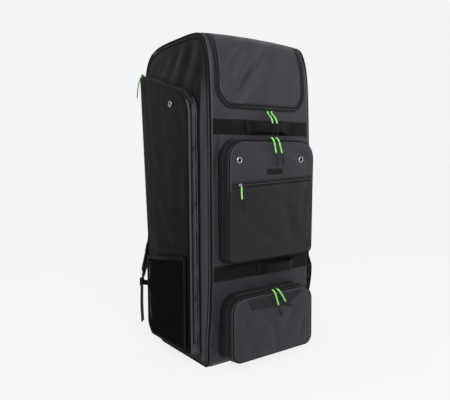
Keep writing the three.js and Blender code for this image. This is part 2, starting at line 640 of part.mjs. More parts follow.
// Diamond holes through the net, in staggered rows.
function netHoles(side) {
  const { front, back, bottom, mouthBack } = MESH_POCKET;
  const { across, up, rows, columns } = NET_HOLE;
  const pitchY = (back - front) / (columns + 1);
  const pitchZ = (mouthBack - bottom) / (rows + 1.4);
  const reach = BODY_WIDTH;
  const holes = [];
  for (let row = 0; row < rows; row += 1) {
    for (let column = 0; column < columns - row % 2; column += 1) {
      const y = front + pitchY * (column + 1 + (row % 2) / 2);
      const z = bottom + pitchZ * (row + 1);
      const diamond = [[across / 2, 0], [0, up / 2], [-across / 2, 0], [0, -up / 2]]
        .map(([u, v]) => new THREE.Vector2(u, v));
      const geometry = new THREE.ExtrudeGeometry(new THREE.Shape(diamond), { depth: reach, bevelEnabled: false });
      geometry.rotateX(Math.PI / 2);
      geometry.rotateZ(Math.PI / 2);
      geometry.translate(side > 0 ? 0 : -reach, y, z);
      holes.push(toSolid(geometry));
    }
  }
  return holes;
}

function addSide(name, side) {
  const pocket = sidePockets[name];
  addPiece(`side_pocket_${name}`, pocketShell(pocket), DARK_CLOTH);
  addPiece(`side_zip_${name}`, gussetZip(pocket, 8, 22, sideSlab(side, MESH_POCKET.bottom)), WEBBING);
  const fullness = side < 0 ? MESH_POCKET.fullnessLeft : MESH_POCKET.fullnessRight;
  const sheet = meshPocket(side, fullness);
  const net = netHoles(side).reduce((left, hole) => left.subtract(hole), sheet);
  addPiece(`mesh_pocket_${name}`, net, NET);
}

// A rolled eyelet, turned from its section and laid on a pocket's panel.
function addEyelet(name, pocket, axis, at) {
  const half = EYELET_THICKNESS;
  const section = [[EYELET_HOLE, -half], [EYELET_RADIUS, -half], [EYELET_RADIUS, 0.2 * half],
    [(EYELET_RADIUS + EYELET_HOLE) / 2, half], [EYELET_HOLE, 0.2 * half], [EYELET_HOLE, -half]]
    .map(([r, h]) => new THREE.Vector2(r, h));
  const geometry = new THREE.LatheGeometry(section, 10);
  if (axis === 'x') {
    geometry.rotateZ(-Math.PI / 2 * Math.sign(at[0]));
  } else {
    geometry.rotateX(Math.PI);
  }
  geometry.translate(...at);
  addPiece(name, toSolid(geometry).subtract(pocketForm(pocket, SEAT_GAP)), SILVER);
}

function tube(points, radius, sides, steps) {
  const path = new THREE.CatmullRomCurve3(points.map((p) => new THREE.Vector3(...p)));
  const circle = Array.from({ length: sides }, (_, i) => {
    const angle = 2 * Math.PI * i / sides;
    return new THREE.Vector2(radius * Math.cos(angle), radius * Math.sin(angle));
  });
  return new THREE.ExtrudeGeometry(new THREE.Shape(circle), { steps, extrudePath: path, bevelEnabled: false });
}

// Where each slider sits: the middle of the flap's pair, of the pockets' pairs at their top front edges,
// of the slanted zip's slider and of the side zips' sliders at their upper back corners.
const FRONT_FACE = FRONT_PLANE + FRONT_CROWN;
const SLIDER_SEATS = {
  flap: [15.5, -FRONT_FACE, FLAP_SILL],
  mid: [(MID_POCKET.left + MID_POCKET.right) / 2 - 3, -FRONT_PLANE - MID_POCKET.depth, MID_POCKET.top],
  bottom: [(BOTTOM_POCKET.left + BOTTOM_POCKET.right) / 2 - 1, -FRONT_PLANE - BOTTOM_POCKET.depth,
    BOTTOM_POCKET.top],
  front: [MID_POCKET.left + FRONT_SLIDER_INSET, -FRONT_PLANE - MID_POCKET.depth,
    THREE.MathUtils.lerp(MID_POCKET.bottom, MID_POCKET.top, (SLANTED_ZIP.lowLeft + SLANTED_ZIP.highLeft) / 2 + 0.02)],
  side_left: sideSliderSeat(-1),
  side_right: sideSliderSeat(1),
};

function sideSliderSeat(side) {
  const top = sidePockets.left.corners[3];
  const z = top.b - SLIDER.length;
  return [side * (halfWidthAt(z) + SIDE_POCKET.depth / 2 + 1), top.a - 9, z];
}

function addPulls() {
  for (const { name, seat, sleeve, tail } of PULLS) {
    const from = (route) => route.map((point) => point.map((value, axis) => value + SLIDER_SEATS[seat][axis]));
    addPiece(`sleeve_${name}`, tube(from(sleeve), SLEEVE_RADIUS, 6, 3), NEON);
    addPiece(`tail_${name}`, tube(from(tail), TAIL_RADIUS, 8, 6), WEBBING);
  }
}

function sliderBlock(at, size) {
  return boxSolid(at.map((value, axis) => value - size[axis] / 2), at.map((value, axis) => value + size[axis] / 2));
}

// Sliders sit on their zips. A pair that closes head to head is one cast piece here.
function addSliders() {
  const { length, width, height } = SLIDER;
  const moved = (seat, offset) => SLIDER_SEATS[seat].map((value, axis) => value + offset[axis]);
  const flapSeat = bodyForm(2 * SEAT_GAP + TRIM_THICKNESS);
  const flap = sliderBlock(moved('flap', [0, -2, -2]), [SLIDER_PAIR.width, 2 * height, length]);
  addPiece('sliders_flap', flap.subtract(flapSeat), COATED_METAL);
  const onPocket = (pocket, block) => block.subtract(pocketForm(pocket, 2 * SEAT_GAP + TRIM_THICKNESS));
  const pairSize = [SLIDER_PAIR.width, SLIDER_PAIR.length, 2 * height + 4];
  for (const [name, pocket] of [['mid', midPocket], ['bottom', bottomPocket]]) {
    const pair = sliderBlock(moved(name, [0, SLIDER_PAIR.proud + SLIDER_PAIR.length / 2, -2]), pairSize);
    addPiece(`sliders_${name}`, onPocket(pocket, pair), COATED_METAL);
  }
  const single = sliderBlock(moved('front', [0, -2, 0]), [width, 2 * height, length]);
  addPiece('slider_front', onPocket(midPocket, single), COATED_METAL);
  for (const name of ['left', 'right']) {
    const block = sliderBlock(SLIDER_SEATS[`side_${name}`], [width, length + 2, length]);
    const seated = onPocket(sidePockets[name], block).subtract(BODY_SEAT);
    addPiece(`slider_side_${name}`, mainBody(seated), COATED_METAL);
  }
}

function addBack() {
  const { sideMargin, thickness, corner } = PAD;
  const halfWidth = BODY_WIDTH / 2 - sideMargin;
  const [bottom, top] = [PAD.bottom, PAD.top].map((share) => BASE_TOP + share * BODY_HEIGHT);
  const corners = [
    { a: -halfWidth, b: bottom, radius: corner }, { a: halfWidth, b: bottom, radius: corner },
    { a: halfWidth, b: top, radius: corner }, { a: -halfWidth, b: top, radius: corner },
  ];
  const pad = bodySkin(thickness).intersect(prismXZ(roundedOutline(corners), 0, 3 * HALF_DEPTH));
  addPiece('back_pad', pad, DARK_CLOTH);
}

function addHarness(name, side) {
  const place = ({ x, y, z }) => new THREE.Vector3(
    -side * x * BODY_WIDTH / 2, y * HALF_DEPTH, BASE_TOP + z * BODY_HEIGHT);
  const lock = place(ADJUSTER_PLACE);
  const lastRow = SHOULDER_STRAP.length - 1;
  const sections = SHOULDER_STRAP.map((row, i) => {
    const lean = THREE.MathUtils.degToRad(STRAP_LEAN * Math.max(0, i - lastRow + 2));
    const centre = place(row);
    centre.z = i < lastRow ? centre.z : lock.z + ADJUSTER.height / 2 + SEAT_GAP;
    return {
      centre,
      across: new THREE.Vector3(-side * Math.cos(lean), -Math.sin(lean), 0),
      out: new THREE.Vector3(-side * -Math.sin(lean), Math.cos(lean), 0),
      width: row.width,
      thickness: row.thickness,
    };
  });
  const padSeat = bodyForm(2 * SEAT_GAP + PAD.thickness);
  addPiece(`shoulder_strap_${name}`, band(sections).subtract(padSeat), DARK_CLOTH);
  addAdjuster(name, side, lock);
}

// A ladder-lock at the foot of the strap, with the wing that ties it to the bag and the loose webbing end.
function addAdjuster(name, side, place) {
  const { height, width, thickness, slotHeight, slotWidth } = ADJUSTER;
  const rectangle = (w, h, at = 0) => [[-w / 2, at - h / 2], [w / 2, at - h / 2], [w / 2, at + h / 2],
    [-w / 2, at + h / 2]].map((p) => new THREE.Vector2(...p));
  const shape = new THREE.Shape(rectangle(width, height));
  shape.holes = [-1, 1].map((row) => new THREE.Path(rectangle(slotWidth, slotHeight, row * height / 5)));
  const turn = side * THREE.MathUtils.degToRad(ADJUSTER_TURN);
  const lock = new THREE.ExtrudeGeometry(shape, { depth: thickness, bevelEnabled: false });
  lock.translate(0, 0, -thickness / 2);
  lock.rotateX(Math.PI / 2);
  lock.rotateZ(-turn);
  lock.translate(place.x, place.y, place.z);
  addPiece(`adjuster_${name}`, lock, MOULDED);

  const level = new THREE.Vector3(Math.cos(turn), -Math.sin(turn), 0);
  const outward = new THREE.Vector3(Math.sin(turn), Math.cos(turn), 0);
  const tail = [0, 0.3, 0.65, 1].map((share, i) => ({
    centre: new THREE.Vector3(place.x, place.y - [0, 1, 3, 6][i], place.z - height / 2 - SEAT_GAP - share * TAIL_DROP),
    across: level,
    out: outward,
    width: WEBBING_WIDTH,
    thickness: WEBBING_THICKNESS,
  }));
  addPiece(`webbing_tail_${name}`, band(tail), WEBBING);

  const up = new THREE.Vector3(0, 0, 1);
  const root = new THREE.Vector3(side * (BODY_WIDTH / 2 - WING.rootInset), place.y - WING.rootForward, place.z - 4);
  const tip = new THREE.Vector3(place.x - side * WING.tipReach, place.y - WING.tipForward, place.z - 2);
  const faceOut = new THREE.Vector3(side, -0.5, 0).normalize();
  const wing = [[root, WING.rootWidth], [tip, WING.tipWidth]].map(([centre, rowWidth]) => (
    { centre, width: rowWidth, across: up, out: faceOut, thickness: WING.thickness }));
  const clear = pocketForm(sidePockets[name], SEAT_GAP);
  const zipClear = pocketForm(sidePockets[name], 2 * SEAT_GAP + TRIM_THICKNESS);
  addPiece(`strap_wing_${name}`, band(wing).subtract(BODY_SEAT).subtract(clear).subtract(zipClear), WEBBING);
}

addBody();
addBasePanel();
addPiping('piping_left', -1);
addPiping('piping_right', 1);
addStrap('upper_strap', UPPER_STRAP_Z);
addStrap('lower_strap', LOWER_STRAP_Z);
addHandle('upper_handle', UPPER_HANDLE, UPPER_STRAP_Z);
addHandle('lower_handle', LOWER_HANDLE, LOWER_STRAP_Z);
addMidPocket();
addBottomPocket();
addSide('left', -1);
addSide('right', 1);
const eyeletY = -FRONT_PLANE - MID_POCKET.depth;
const eyeletZ = MID_POCKET.top - EYELET_INSET.top;
addEyelet('eyelet_mid_left', midPocket, 'y', [MID_POCKET.left + EYELET_INSET.left, eyeletY, eyeletZ]);
addEyelet('eyelet_mid_right', midPocket, 'y', [MID_POCKET.right - EYELET_INSET.right, eyeletY, eyeletZ]);
for (const [name, side] of [['left', -1], ['right', 1]]) {
  const z = BASE_TOP + SIDE_EYELET.z * BODY_HEIGHT;
  const at = [side * (halfWidthAt(z) + SIDE_POCKET.depth + 1), SIDE_EYELET.y * HALF_DEPTH, z];
  addEyelet(`eyelet_side_${name}`, sidePockets[name], 'x', at);
}
addSliders();
addPulls();
addBack();
addHarness('left', -1);
addHarness('right', 1);

export default kitBag;
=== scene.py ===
"""A standing cricket kit bag: its cloth, zips, webbing, net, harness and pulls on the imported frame."""
import math

import bpy
import numpy as np
from mathutils import Matrix, Vector


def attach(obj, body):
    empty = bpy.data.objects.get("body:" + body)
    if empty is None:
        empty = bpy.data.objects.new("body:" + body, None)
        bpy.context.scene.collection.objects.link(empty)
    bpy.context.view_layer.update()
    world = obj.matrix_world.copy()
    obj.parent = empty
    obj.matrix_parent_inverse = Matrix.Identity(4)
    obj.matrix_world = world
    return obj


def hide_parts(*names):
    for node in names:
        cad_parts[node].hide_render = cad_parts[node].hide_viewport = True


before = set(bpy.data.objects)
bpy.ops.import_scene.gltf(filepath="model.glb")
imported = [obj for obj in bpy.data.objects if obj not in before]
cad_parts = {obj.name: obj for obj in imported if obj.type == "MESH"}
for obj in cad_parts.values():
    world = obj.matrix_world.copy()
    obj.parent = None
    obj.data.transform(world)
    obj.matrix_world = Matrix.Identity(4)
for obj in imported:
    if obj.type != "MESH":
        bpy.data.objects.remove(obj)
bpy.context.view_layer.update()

MM = 0.001
ROOT = "root"

# Sizes in millimetres, as in the solids.
BODY_WIDTH, HALF_DEPTH, BODY_HEIGHT = 384.0, 165.0, 958.0
BASE_TOP = 3.3
EDGE_CHAMFER, FRONT_CROWN, TOP_NARROWING = 6.0, 6.0, 0.03
RIM = 1 - EDGE_CHAMFER / (BODY_WIDTH / 2)
FRONT_PLANE = 1.036 * HALF_DEPTH
FLAP_HALF_WIDTH, FLAP_SILL, FLAP_CORNER, FLAP_HINGE_Y = 161.0, 753.0, 54.0, 95.0
UPPER_STRAP_Z, LOWER_STRAP_Z, STRAP_WIDTH = 694.5, 279.0, 43.0
MID = dict(left=-167.0, right=165.0, bottom=306.0, top=662.0, radii=(26, 26, 60, 60),
           depth=52.0, flare=6.0, round=8.0, crown=4.0)
LOW = dict(left=-160.0, right=157.0, bottom=20.0, top=219.0, radii=(34, 34, 52, 52),
           depth=55.0, flare=5.0, round=9.0, crown=5.0)
SIDE = dict(depth=33.0, flare=15.0, round=6.0, crown=4.0)
SIDE_OUTLINE = [
    (-.85, 0), (-.925, .016), (-.945, .085), (-1.005, .175), (-1.036, .30), (-1.036, .46), (-1.04, .62),
    (-1.02, .79), (-.985, .893), (-.90, .954), (-.76, .988), (-.5, .999), (0, 1), (.5, .998), (.86, .990),
    (1.12, .968), (1.27, .925), (1.33, .86), (1.32, .765), (1.23, .62), (1.13, .46), (1.03, .31),
    (.95, .14), (.91, .05), (.80, .008), (.66, 0)]
SIDE_POCKET_CORNERS = [(-.715, .020, 20), (.83, .020, 30), (1.03, .40, 300), (1.26, .927, 14),
                       (-.69, .828, 92)]
NET_POCKET = dict(bottom=42.0, mouth_front=318.0, mouth_back=288.0)
NET_SWELL = {"left": dict(fullness=12.0, edge_power=0.55, gather=0.0, front=-88.0, back=143.0),
             "right": dict(fullness=77.0, edge_power=0.12, gather=0.8, front=-97.0, back=126.0)}

# Soft sunken lines: middle, turn in degrees, length, width and depth in millimetres.
BODY_SIDE_FOLDS = [
    (-.34, .93, 116, 140, 20, 9), (.10, .935, 130, 120, 21, 7), (.50, .935, 140, 110, 18, 5),
    (-.74, .87, 99, 150, 16, 6), (-.54, .84, 112, 110, 12, 3.5), (-.82, .70, 94, 170, 13, 3.5),
    (.78, .93, 146, 80, 13, 3)]
FRONT_FOLDS = [
    (-.47, .918, 50, 140, 16, 13), (-.16, .885, 50, 230, 21, 17), (.55, .93, 70, 90, 24, 3),
    (-.34, .84, 50, 110, 9, 3.2), (-.62, .83, 66, 90, 8, 2.4), (.30, .82, 12, 120, 14, 1.6),
    (.05, .672, 4, 190, 5, 3.2), (-.80, .70, 80, 90, 8, 1.8), (.55, .715, 96, 30, 4, 1.6),
    (.62, .715, 92, 26, 3, 1.4), (-.90, .235, -52, 60, 6, 3.2), (-.91, .15, -55, 64, 6, 3.4),
    (-.90, .07, -52, 56, 6, 3.0), (-.88, .62, 76, 90, 9, 2.6), (-.55, .25, -20, 70, 8, 2.4)]


def catmull(points, count):
    """A smooth curve through points, sampled count times from the first to the last."""
    points = np.array(points, float)
    last = len(points) - 1
    spots = np.linspace(0, last, count)
    low = np.minimum(spots.astype(int), last)
    part = (spots - low)[:, None]
    p0 = points[np.maximum(low - 1, 0)]
    p1 = points[low]
    p2 = points[np.minimum(low + 1, last)]
    p3 = points[np.minimum(low + 2, last)]
    v0, v1 = (p2 - p0) / 2, (p3 - p1) / 2
    return ((2 * p1 - 2 * p2 + v0 + v1) * part ** 3 + (-3 * p1 + 3 * p2 - 2 * v0 - v1) * part ** 2
            + v0 * part + p1)


def unit(vectors):
    return vectors / np.maximum(np.linalg.norm(vectors, axis=-1, keepdims=True), 1e-9)


def closed_steps(points):
    """Unit steps along a closed loop of points, by central differences."""
    return unit(np.roll(points, -1, axis=0) - np.roll(points, 1, axis=0))


def open_steps(points):
    return unit(np.gradient(np.array(points, float), axis=0))


def lengths_along(points):
    return np.concatenate([[0], np.cumsum(np.linalg.norm(np.diff(points, axis=0), axis=1))])


def relief(rows, a, b, middle=(0.0, 0.0), scale=(1.0, 1.0)):
    """How far the soft sunken lines of rows press a surface in at (a, b)."""
    total = np.zeros(np.broadcast(a, b).shape)
    for fa, fb, turn, length, width, depth in rows:
        angle = math.radians(turn)
        da, db = a - middle[0] - fa * scale[0], b - middle[1] - fb * scale[1]
        along = da * math.cos(angle) + db * math.sin(angle)
        across = -da * math.sin(angle) + db * math.cos(angle)
        total = total + depth * np.exp(-(2 * along / length) ** 2) * np.exp(-(across / width) ** 2)
    return total


def ripple(a, b, size, seed):
    """Gentle random undulation of unit height with a given typical size in millimetres."""
    pick = np.random.default_rng(seed)
    total = np.zeros(np.broadcast(a, b).shape)
    for _ in range(7):
        angle, phase = pick.uniform(0, 2 * math.pi, 2)
        wave = 2 * math.pi / (size * pick.uniform(0.6, 1.7))
        total = total + np.sin(wave * (a * math.cos(angle) + b * math.sin(angle)) + phase)
    return total / 4


def half_width(z):
    return BODY_WIDTH / 2 * (1 - TOP_NARROWING * (z - BASE_TOP) / BODY_HEIGHT)


def side_relief(y, z):
    folds = relief(BODY_SIDE_FOLDS, y, z, (0, BASE_TOP), (HALF_DEPTH, BODY_HEIGHT))
    return folds + 1.1 * ripple(y, z, 90, 3)


def front_relief(x, z):
    folds = relief(FRONT_FOLDS, x, z, (0, BASE_TOP), (BODY_WIDTH / 2, BODY_HEIGHT))
    return folds + 0.9 * ripple(x, z, 110, 5)


def body_outline():
    rows = [(y * HALF_DEPTH, BASE_TOP + z * BODY_HEIGHT) for y, z in SIDE_OUTLINE]
    curve = catmull(rows, 250)
    curve[:, 1] = np.maximum(curve[:, 1], BASE_TOP)
    under = np.linspace(curve[-1], curve[0], 26)[1:-1]
    points = np.vstack([curve, under])
    along = closed_steps(points)
    return points, np.stack([-along[:, 1], along[:, 0]], axis=1), len(curve)


OUTLINE, OUTLINE_OUT, OPEN_COUNT = body_outline()
OUTLINE_LENGTH = lengths_along(OUTLINE[:OPEN_COUNT])
TOP_INDEX = int(np.argmax(OUTLINE[:OPEN_COUNT, 1]))


def travel_at_front(z):
    """Distance along the outline from the foot of the front up to a height."""
    rise = np.maximum.accumulate(OUTLINE[:TOP_INDEX + 1, 1] + np.arange(TOP_INDEX + 1) * 1e-6)
    return np.interp(z, rise, OUTLINE_LENGTH[:TOP_INDEX + 1])


def travel_at_top(y):
    spots = slice(TOP_INDEX // 2, OPEN_COUNT)
    index = TOP_INDEX // 2 + int(np.argmax(OUTLINE[spots, 0] >= y))
    return OUTLINE_LENGTH[index]


def on_wrap(x, travel, lift=0.0):
    """Points and outward ways on the front and top at x and a distance along the outline."""
    x, travel, lift = np.broadcast_arrays(np.asarray(x, float), np.asarray(travel, float),
                                          np.asarray(lift, float))
    at = [np.interp(travel, OUTLINE_LENGTH, OUTLINE[:OPEN_COUNT, axis]) for axis in (0, 1)]
    out = [np.interp(travel, OUTLINE_LENGTH, OUTLINE_OUT[:OPEN_COUNT, axis]) for axis in (0, 1)]
    across = np.clip(x / half_width(at[1]), -1, 1)
    crown = FRONT_CROWN * np.maximum(0, 1 - (across / RIM) ** 2)
    facing = np.clip((-out[0] - 0.2) / 0.3, 0, 1)
    height = lift + crown - front_relief(x, at[1]) * facing
    points = np.stack([x, at[0] + out[0] * height, at[1] + out[1] * height], axis=-1)
    lean = 2 * FRONT_CROWN * across / half_width(at[1]) / RIM ** 2
    ways = unit(np.stack([lean, out[0], out[1]], axis=-1))
    return points, ways


def rounded_outline(corners, inset=0.0, arc_steps=10, edge_steps=20):
    """Outline of a polygon with rounded corners, moved inwards, the same count for every inset."""
    corners = [(np.array(c[:2], float), float(c[2])) for c in corners]
    count = len(corners)

    def moved(i):
        start = corners[i % count][0]
        along = unit(corners[(i + 1) % count][0] - start)
        inward = np.array([-along[1], along[0]])
        return start + inward * inset, along, inward

    arcs = []
    for i in range(count):
        from_a, along_a, inward_a = moved(i - 1)
        from_b, along_b, _ = moved(i)
        cross = along_a[0] * along_b[1] - along_a[1] * along_b[0]
        gap = from_b - from_a
        point = from_a + along_a * ((gap[0] * along_b[1] - gap[1] * along_b[0]) / cross)
        turn = math.asin(min(1, cross))
        radius = max(corners[i][1] - inset, 0.5)
        centre = point - along_a * radius * math.tan(turn / 2) + inward_a * radius
        start = math.atan2(-inward_a[1], -inward_a[0])
        angles = start + turn * np.linspace(0, 1, arc_steps + 1)
        arcs.append(centre + radius * np.stack([np.cos(angles), np.sin(angles)], axis=1))
    loop = []
    for i, arc in enumerate(arcs):
        loop.append(arc)
        after = arcs[(i + 1) % count][0]
        loop.append(np.linspace(arc[-1], after, edge_steps + 1)[1:-1])
    return np.vstack(loop)


def grid_faces(rows, columns, wrap=False):
    """Faces of a grid of vertices. wrap joins the last column to the first."""
    faces = []
    for row in range(rows - 1):
        for column in range(columns if wrap else columns - 1):
            after = (column + 1) % columns
            a, b = row * columns + column, row * columns + after
            faces.append((a, b, b + columns, a + columns))
    return faces


def end_caps(rows, columns):
    """The two flat ends of a grid that wraps round."""
    return [tuple(range(columns))[::-1], tuple((rows - 1) * columns + c for c in range(columns))]


def last_to_first(rows, columns):
    """Faces that join the last row of a grid that wraps round to its first."""
    last = (rows - 1) * columns
    return [(last + c, last + (c + 1) % columns, (c + 1) % columns, c) for c in range(columns)]


def closed_by_fans(rings):
    """Points and faces of a row of rings, each end closed by a fan to its middle."""
    rows, columns = rings.shape[:2]
    points = np.vstack([rings.reshape(-1, 3), rings[0].mean(axis=0), rings[-1].mean(axis=0)])
    faces = grid_faces(rows, columns, wrap=True)
    first, last, end = rows * columns, rows * columns + 1, (rows - 1) * columns
    faces += [(first, (c + 1) % columns, c) for c in range(columns)]
    faces += [(last, end + c, end + (c + 1) % columns) for c in range(columns)]
    return points, faces


def put(name, points, faces, finish, nodes=(), slot=None, uv=None, smooth=True, flat_angle=None):
    """Makes a piece in place from points in millimetres."""
    mesh = bpy.data.meshes.new(name)
    mesh.from_pydata((np.asarray(points, float).reshape(-1, 3) * MM).tolist(), [], faces)
    if uv is not None:
        layer = mesh.uv_layers.new(name="UVMap")
        spots = np.asarray(uv, float).reshape(-1, 2)
        index = np.empty(len(mesh.loops), int)
        mesh.loops.foreach_get("vertex_index", index)
        layer.data.foreach_set("uv", spots[index].ravel())
    mesh.materials.append(finish)
    if smooth:
        mesh.polygons.foreach_set("use_smooth", [True] * len(mesh.polygons))
    mesh.update()
    piece = bpy.data.objects.new(name, mesh)
    bpy.context.scene.collection.objects.link(piece)
    if flat_angle is not None:
        mesh.set_sharp_from_angle(angle=math.radians(flat_angle))
    settle(piece, nodes)
    return piece


def settle(piece, nodes=()):
    if nodes:
        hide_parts(*nodes)
    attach(piece, ROOT)
    return piece


def signed_volume(mesh):
    mesh.calc_loop_triangles()
    corner = np.empty(len(mesh.loop_triangles) * 3, int)
    mesh.loop_triangles.foreach_get("vertices", corner)
    place = np.empty(len(mesh.vertices) * 3)
    mesh.vertices.foreach_get("co", place)
    a, b, c = place.reshape(-1, 3)[corner.reshape(-1, 3)].transpose(1, 0, 2)
    return float(np.einsum("ij,ij->i", a, np.cross(b, c)).sum() / 6)


def outward(piece):
    if signed_volume(piece.data) < 0:
        piece.data.flip_normals()
    return piece


def sweep(name, path, out, profile, finish, closed=False, **options):
    """Runs a closed profile of (across, lift) points along a path.

    out is the way that lift goes, one for the whole path or one for each of its points.
    """
    path, out = np.asarray(path, float), unit(np.asarray(out, float))
    along = closed_steps(path) if closed else open_steps(path)
    across = unit(np.cross(along, out))
    out = unit(np.cross(across, along))
    profile = np.asarray(profile, float)
    if profile.ndim == 2:
        profile = np.repeat(profile[None], len(path), axis=0)
    rings = (path[:, None] + across[:, None] * profile[:, :, :1] + out[:, None] * profile[:, :, 1:])
    rows, columns = rings.shape[:2]
    travel = lengths_along(path)
    uv = np.stack([np.repeat(travel[:, None], columns, axis=1), profile[:, :, 0]], axis=-1) * MM
    ends = last_to_first(rows, columns) if closed else end_caps(rows, columns)
    faces = grid_faces(rows, columns, wrap=True) + ends
    if profile_turns_right(profile[0]):
        faces = [face[::-1] for face in faces]
    return outward(put(name, rings, faces, finish, uv=uv, **options))


def profile_turns_right(profile):
    a, b = profile, np.roll(profile, -1, axis=0)
    return np.sum(a[:, 0] * b[:, 1] - b[:, 0] * a[:, 1]) > 0


def circle(radius, sides=10, lift=0.0):
    angles = 2 * math.pi * np.arange(sides) / sides
    return np.stack([radius * np.cos(angles), lift + radius * np.sin(angles)], axis=1)


def tape_profile(width, thickness, under=1.0):
    """A flat strip with softly rounded long edges, set a little into what it lies on."""
    half = width / 2
    top = [(-half, -under), (-half, 0.4 * thickness), (-half + 0.5 * thickness, 0.92 * thickness),
           (-half + 1.6 * thickness, thickness), (-half * 0.5, 1.06 * thickness), (0, 1.1 * thickness)]
    return top + [(-a, h) for a, h in top[-2::-1]]


def zip_profile(width, height=1.5, under=1.0):
    """Tape between two folded cloth welts, with a shallow bed where the coil lies."""
    half = width / 2
    left = [(-half, -under), (-half, 0.35 * height), (-half + 0.7, 1.0 * height),
            (-half + 1.8, 1.25 * height), (-half + 3.4, 1.2 * height), (-half + 4.6, 0.85 * height),
            (-half + 5.0, 0.30 * height), (-1.9, 0.25 * height), (-1.2, 0.35 * height)]
    return left + [(-a, h) for a, h in left[::-1]]


class Sock:
    """A value in a material's nodes. Arithmetic on it adds the Math nodes."""

    def __init__(self, shade, socket):
        self.shade, self.socket = shade, socket

    def math(self, operation, other=None, third=None, turned=False):
        pair = [self] if other is None else ([other, self] if turned else [self, other])
        if third is not None:
            pair.append(third)
        node = self.shade.node("ShaderNodeMath", {"operation": operation}, dict(enumerate(pair)))
        return Sock(self.shade, node.outputs[0])

    def __add__(self, other):
        return self.math("ADD", other)

    def __radd__(self, other):
        return self.math("ADD", other, turned=True)

    def __sub__(self, other):
        return self.math("SUBTRACT", other)

    def __rsub__(self, other):
        return self.math("SUBTRACT", other, turned=True)

    def __mul__(self, other):
        return self.math("MULTIPLY", other)

    def __rmul__(self, other):
        return self.math("MULTIPLY", other, turned=True)

    def sin(self):
        return self.math("SINE")

    def abs(self):
        return self.math("ABSOLUTE")

    def clamped(self):
        node = self.shade.node("ShaderNodeClamp", {}, {"Value": self})
        return Sock(self.shade, node.outputs[0])


class Shade:
    """A material under construction."""

    def __init__(self, name):
        self.material = bpy.data.materials.new(name)
        self.material.use_nodes = True
        self.tree = self.material.node_tree
        self.tree.nodes.clear()

    def node(self, kind, settings=None, inputs=None):
        node = self.tree.nodes.new(kind)
        for key, value in (settings or {}).items():
            setattr(node, key, value)
        for key, value in (inputs or {}).items():
            if isinstance(value, Sock):
                self.tree.links.new(value.socket, node.inputs[key])
            else:
                node.inputs[key].default_value = value
        return node

    def place(self):
        return Sock(self, self.node("ShaderNodeTexCoord").outputs["Object"])

    def axes(self):
        node = self.node("ShaderNodeSeparateXYZ", {}, {0: self.place()})
        return [Sock(self, node.outputs[i]) for i in range(3)]

    def along_across(self):
        uv = Sock(self, self.node("ShaderNodeUVMap", {"uv_map": "UVMap"}).outputs[0])
        node = self.node("ShaderNodeSeparateXYZ", {}, {0: uv})
        return Sock(self, node.outputs[0]), Sock(self, node.outputs[1])

    def noise(self, scale, detail=3.0, roughness=0.55, stretch=None):
        where = self.place()
        if stretch:
            mapping = self.node("ShaderNodeMapping", {}, {"Vector": where, "Scale": stretch})
            where = Sock(self, mapping.outputs[0])
        node = self.node("ShaderNodeTexNoise", {}, {"Vector": where, "Scale": scale, "Detail": detail,
                                                   "Roughness": roughness})
        return Sock(self, node.outputs[0])

    def blend(self, factor, first, second):
        node = self.node("ShaderNodeMix", {"data_type": "RGBA"}, {"Factor": factor, 6: first, 7: second})
        return Sock(self, node.outputs[2])

    def bump(self, height, distance, strength=1.0, normal=None):
        inputs = {"Height": height, "Distance": distance, "Strength": strength}
        if normal is not None:
            inputs["Normal"] = normal
        return Sock(self, self.node("ShaderNodeBump", {}, inputs).outputs[0])

    def finish(self, **inputs):
        keys = {"color": "Base Color", "roughness": "Roughness", "metallic": "Metallic", "normal": "Normal",
                "sheen": "Sheen Weight", "sheen_roughness": "Sheen Roughness", "coat": "Coat Weight",
                "coat_roughness": "Coat Roughness", "specular": "Specular IOR Level", "alpha": "Alpha",
                "glow": "Emission Color", "glow_strength": "Emission Strength"}
        shader = self.node("ShaderNodeBsdfPrincipled", {}, {keys[k]: v for k, v in inputs.items()})
        output = self.node("ShaderNodeOutputMaterial")
        self.tree.links.new(shader.outputs[0], output.inputs["Surface"])
        return self.material


WEAVE_STEP, WEAVE_RELIEF = 0.0011, 0.00010
HERRINGBONE_STEP, WEBBING_CORD_STEP, RIB_RELIEF = 0.0075, 0.0012, 0.00028
AIR_MESH_STEP, AIR_MESH_RELIEF = 0.0042, 0.0005


def tint(red, green, blue):
    """A colour given as it looks on a screen, 0 to 255, in the form that shaders take."""
    def straight(value):
        share = value / 255
        return share / 12.92 if share <= 0.04045 else ((share + 0.055) / 1.055) ** 2.4
    return (straight(red), straight(green), straight(blue), 1.0)


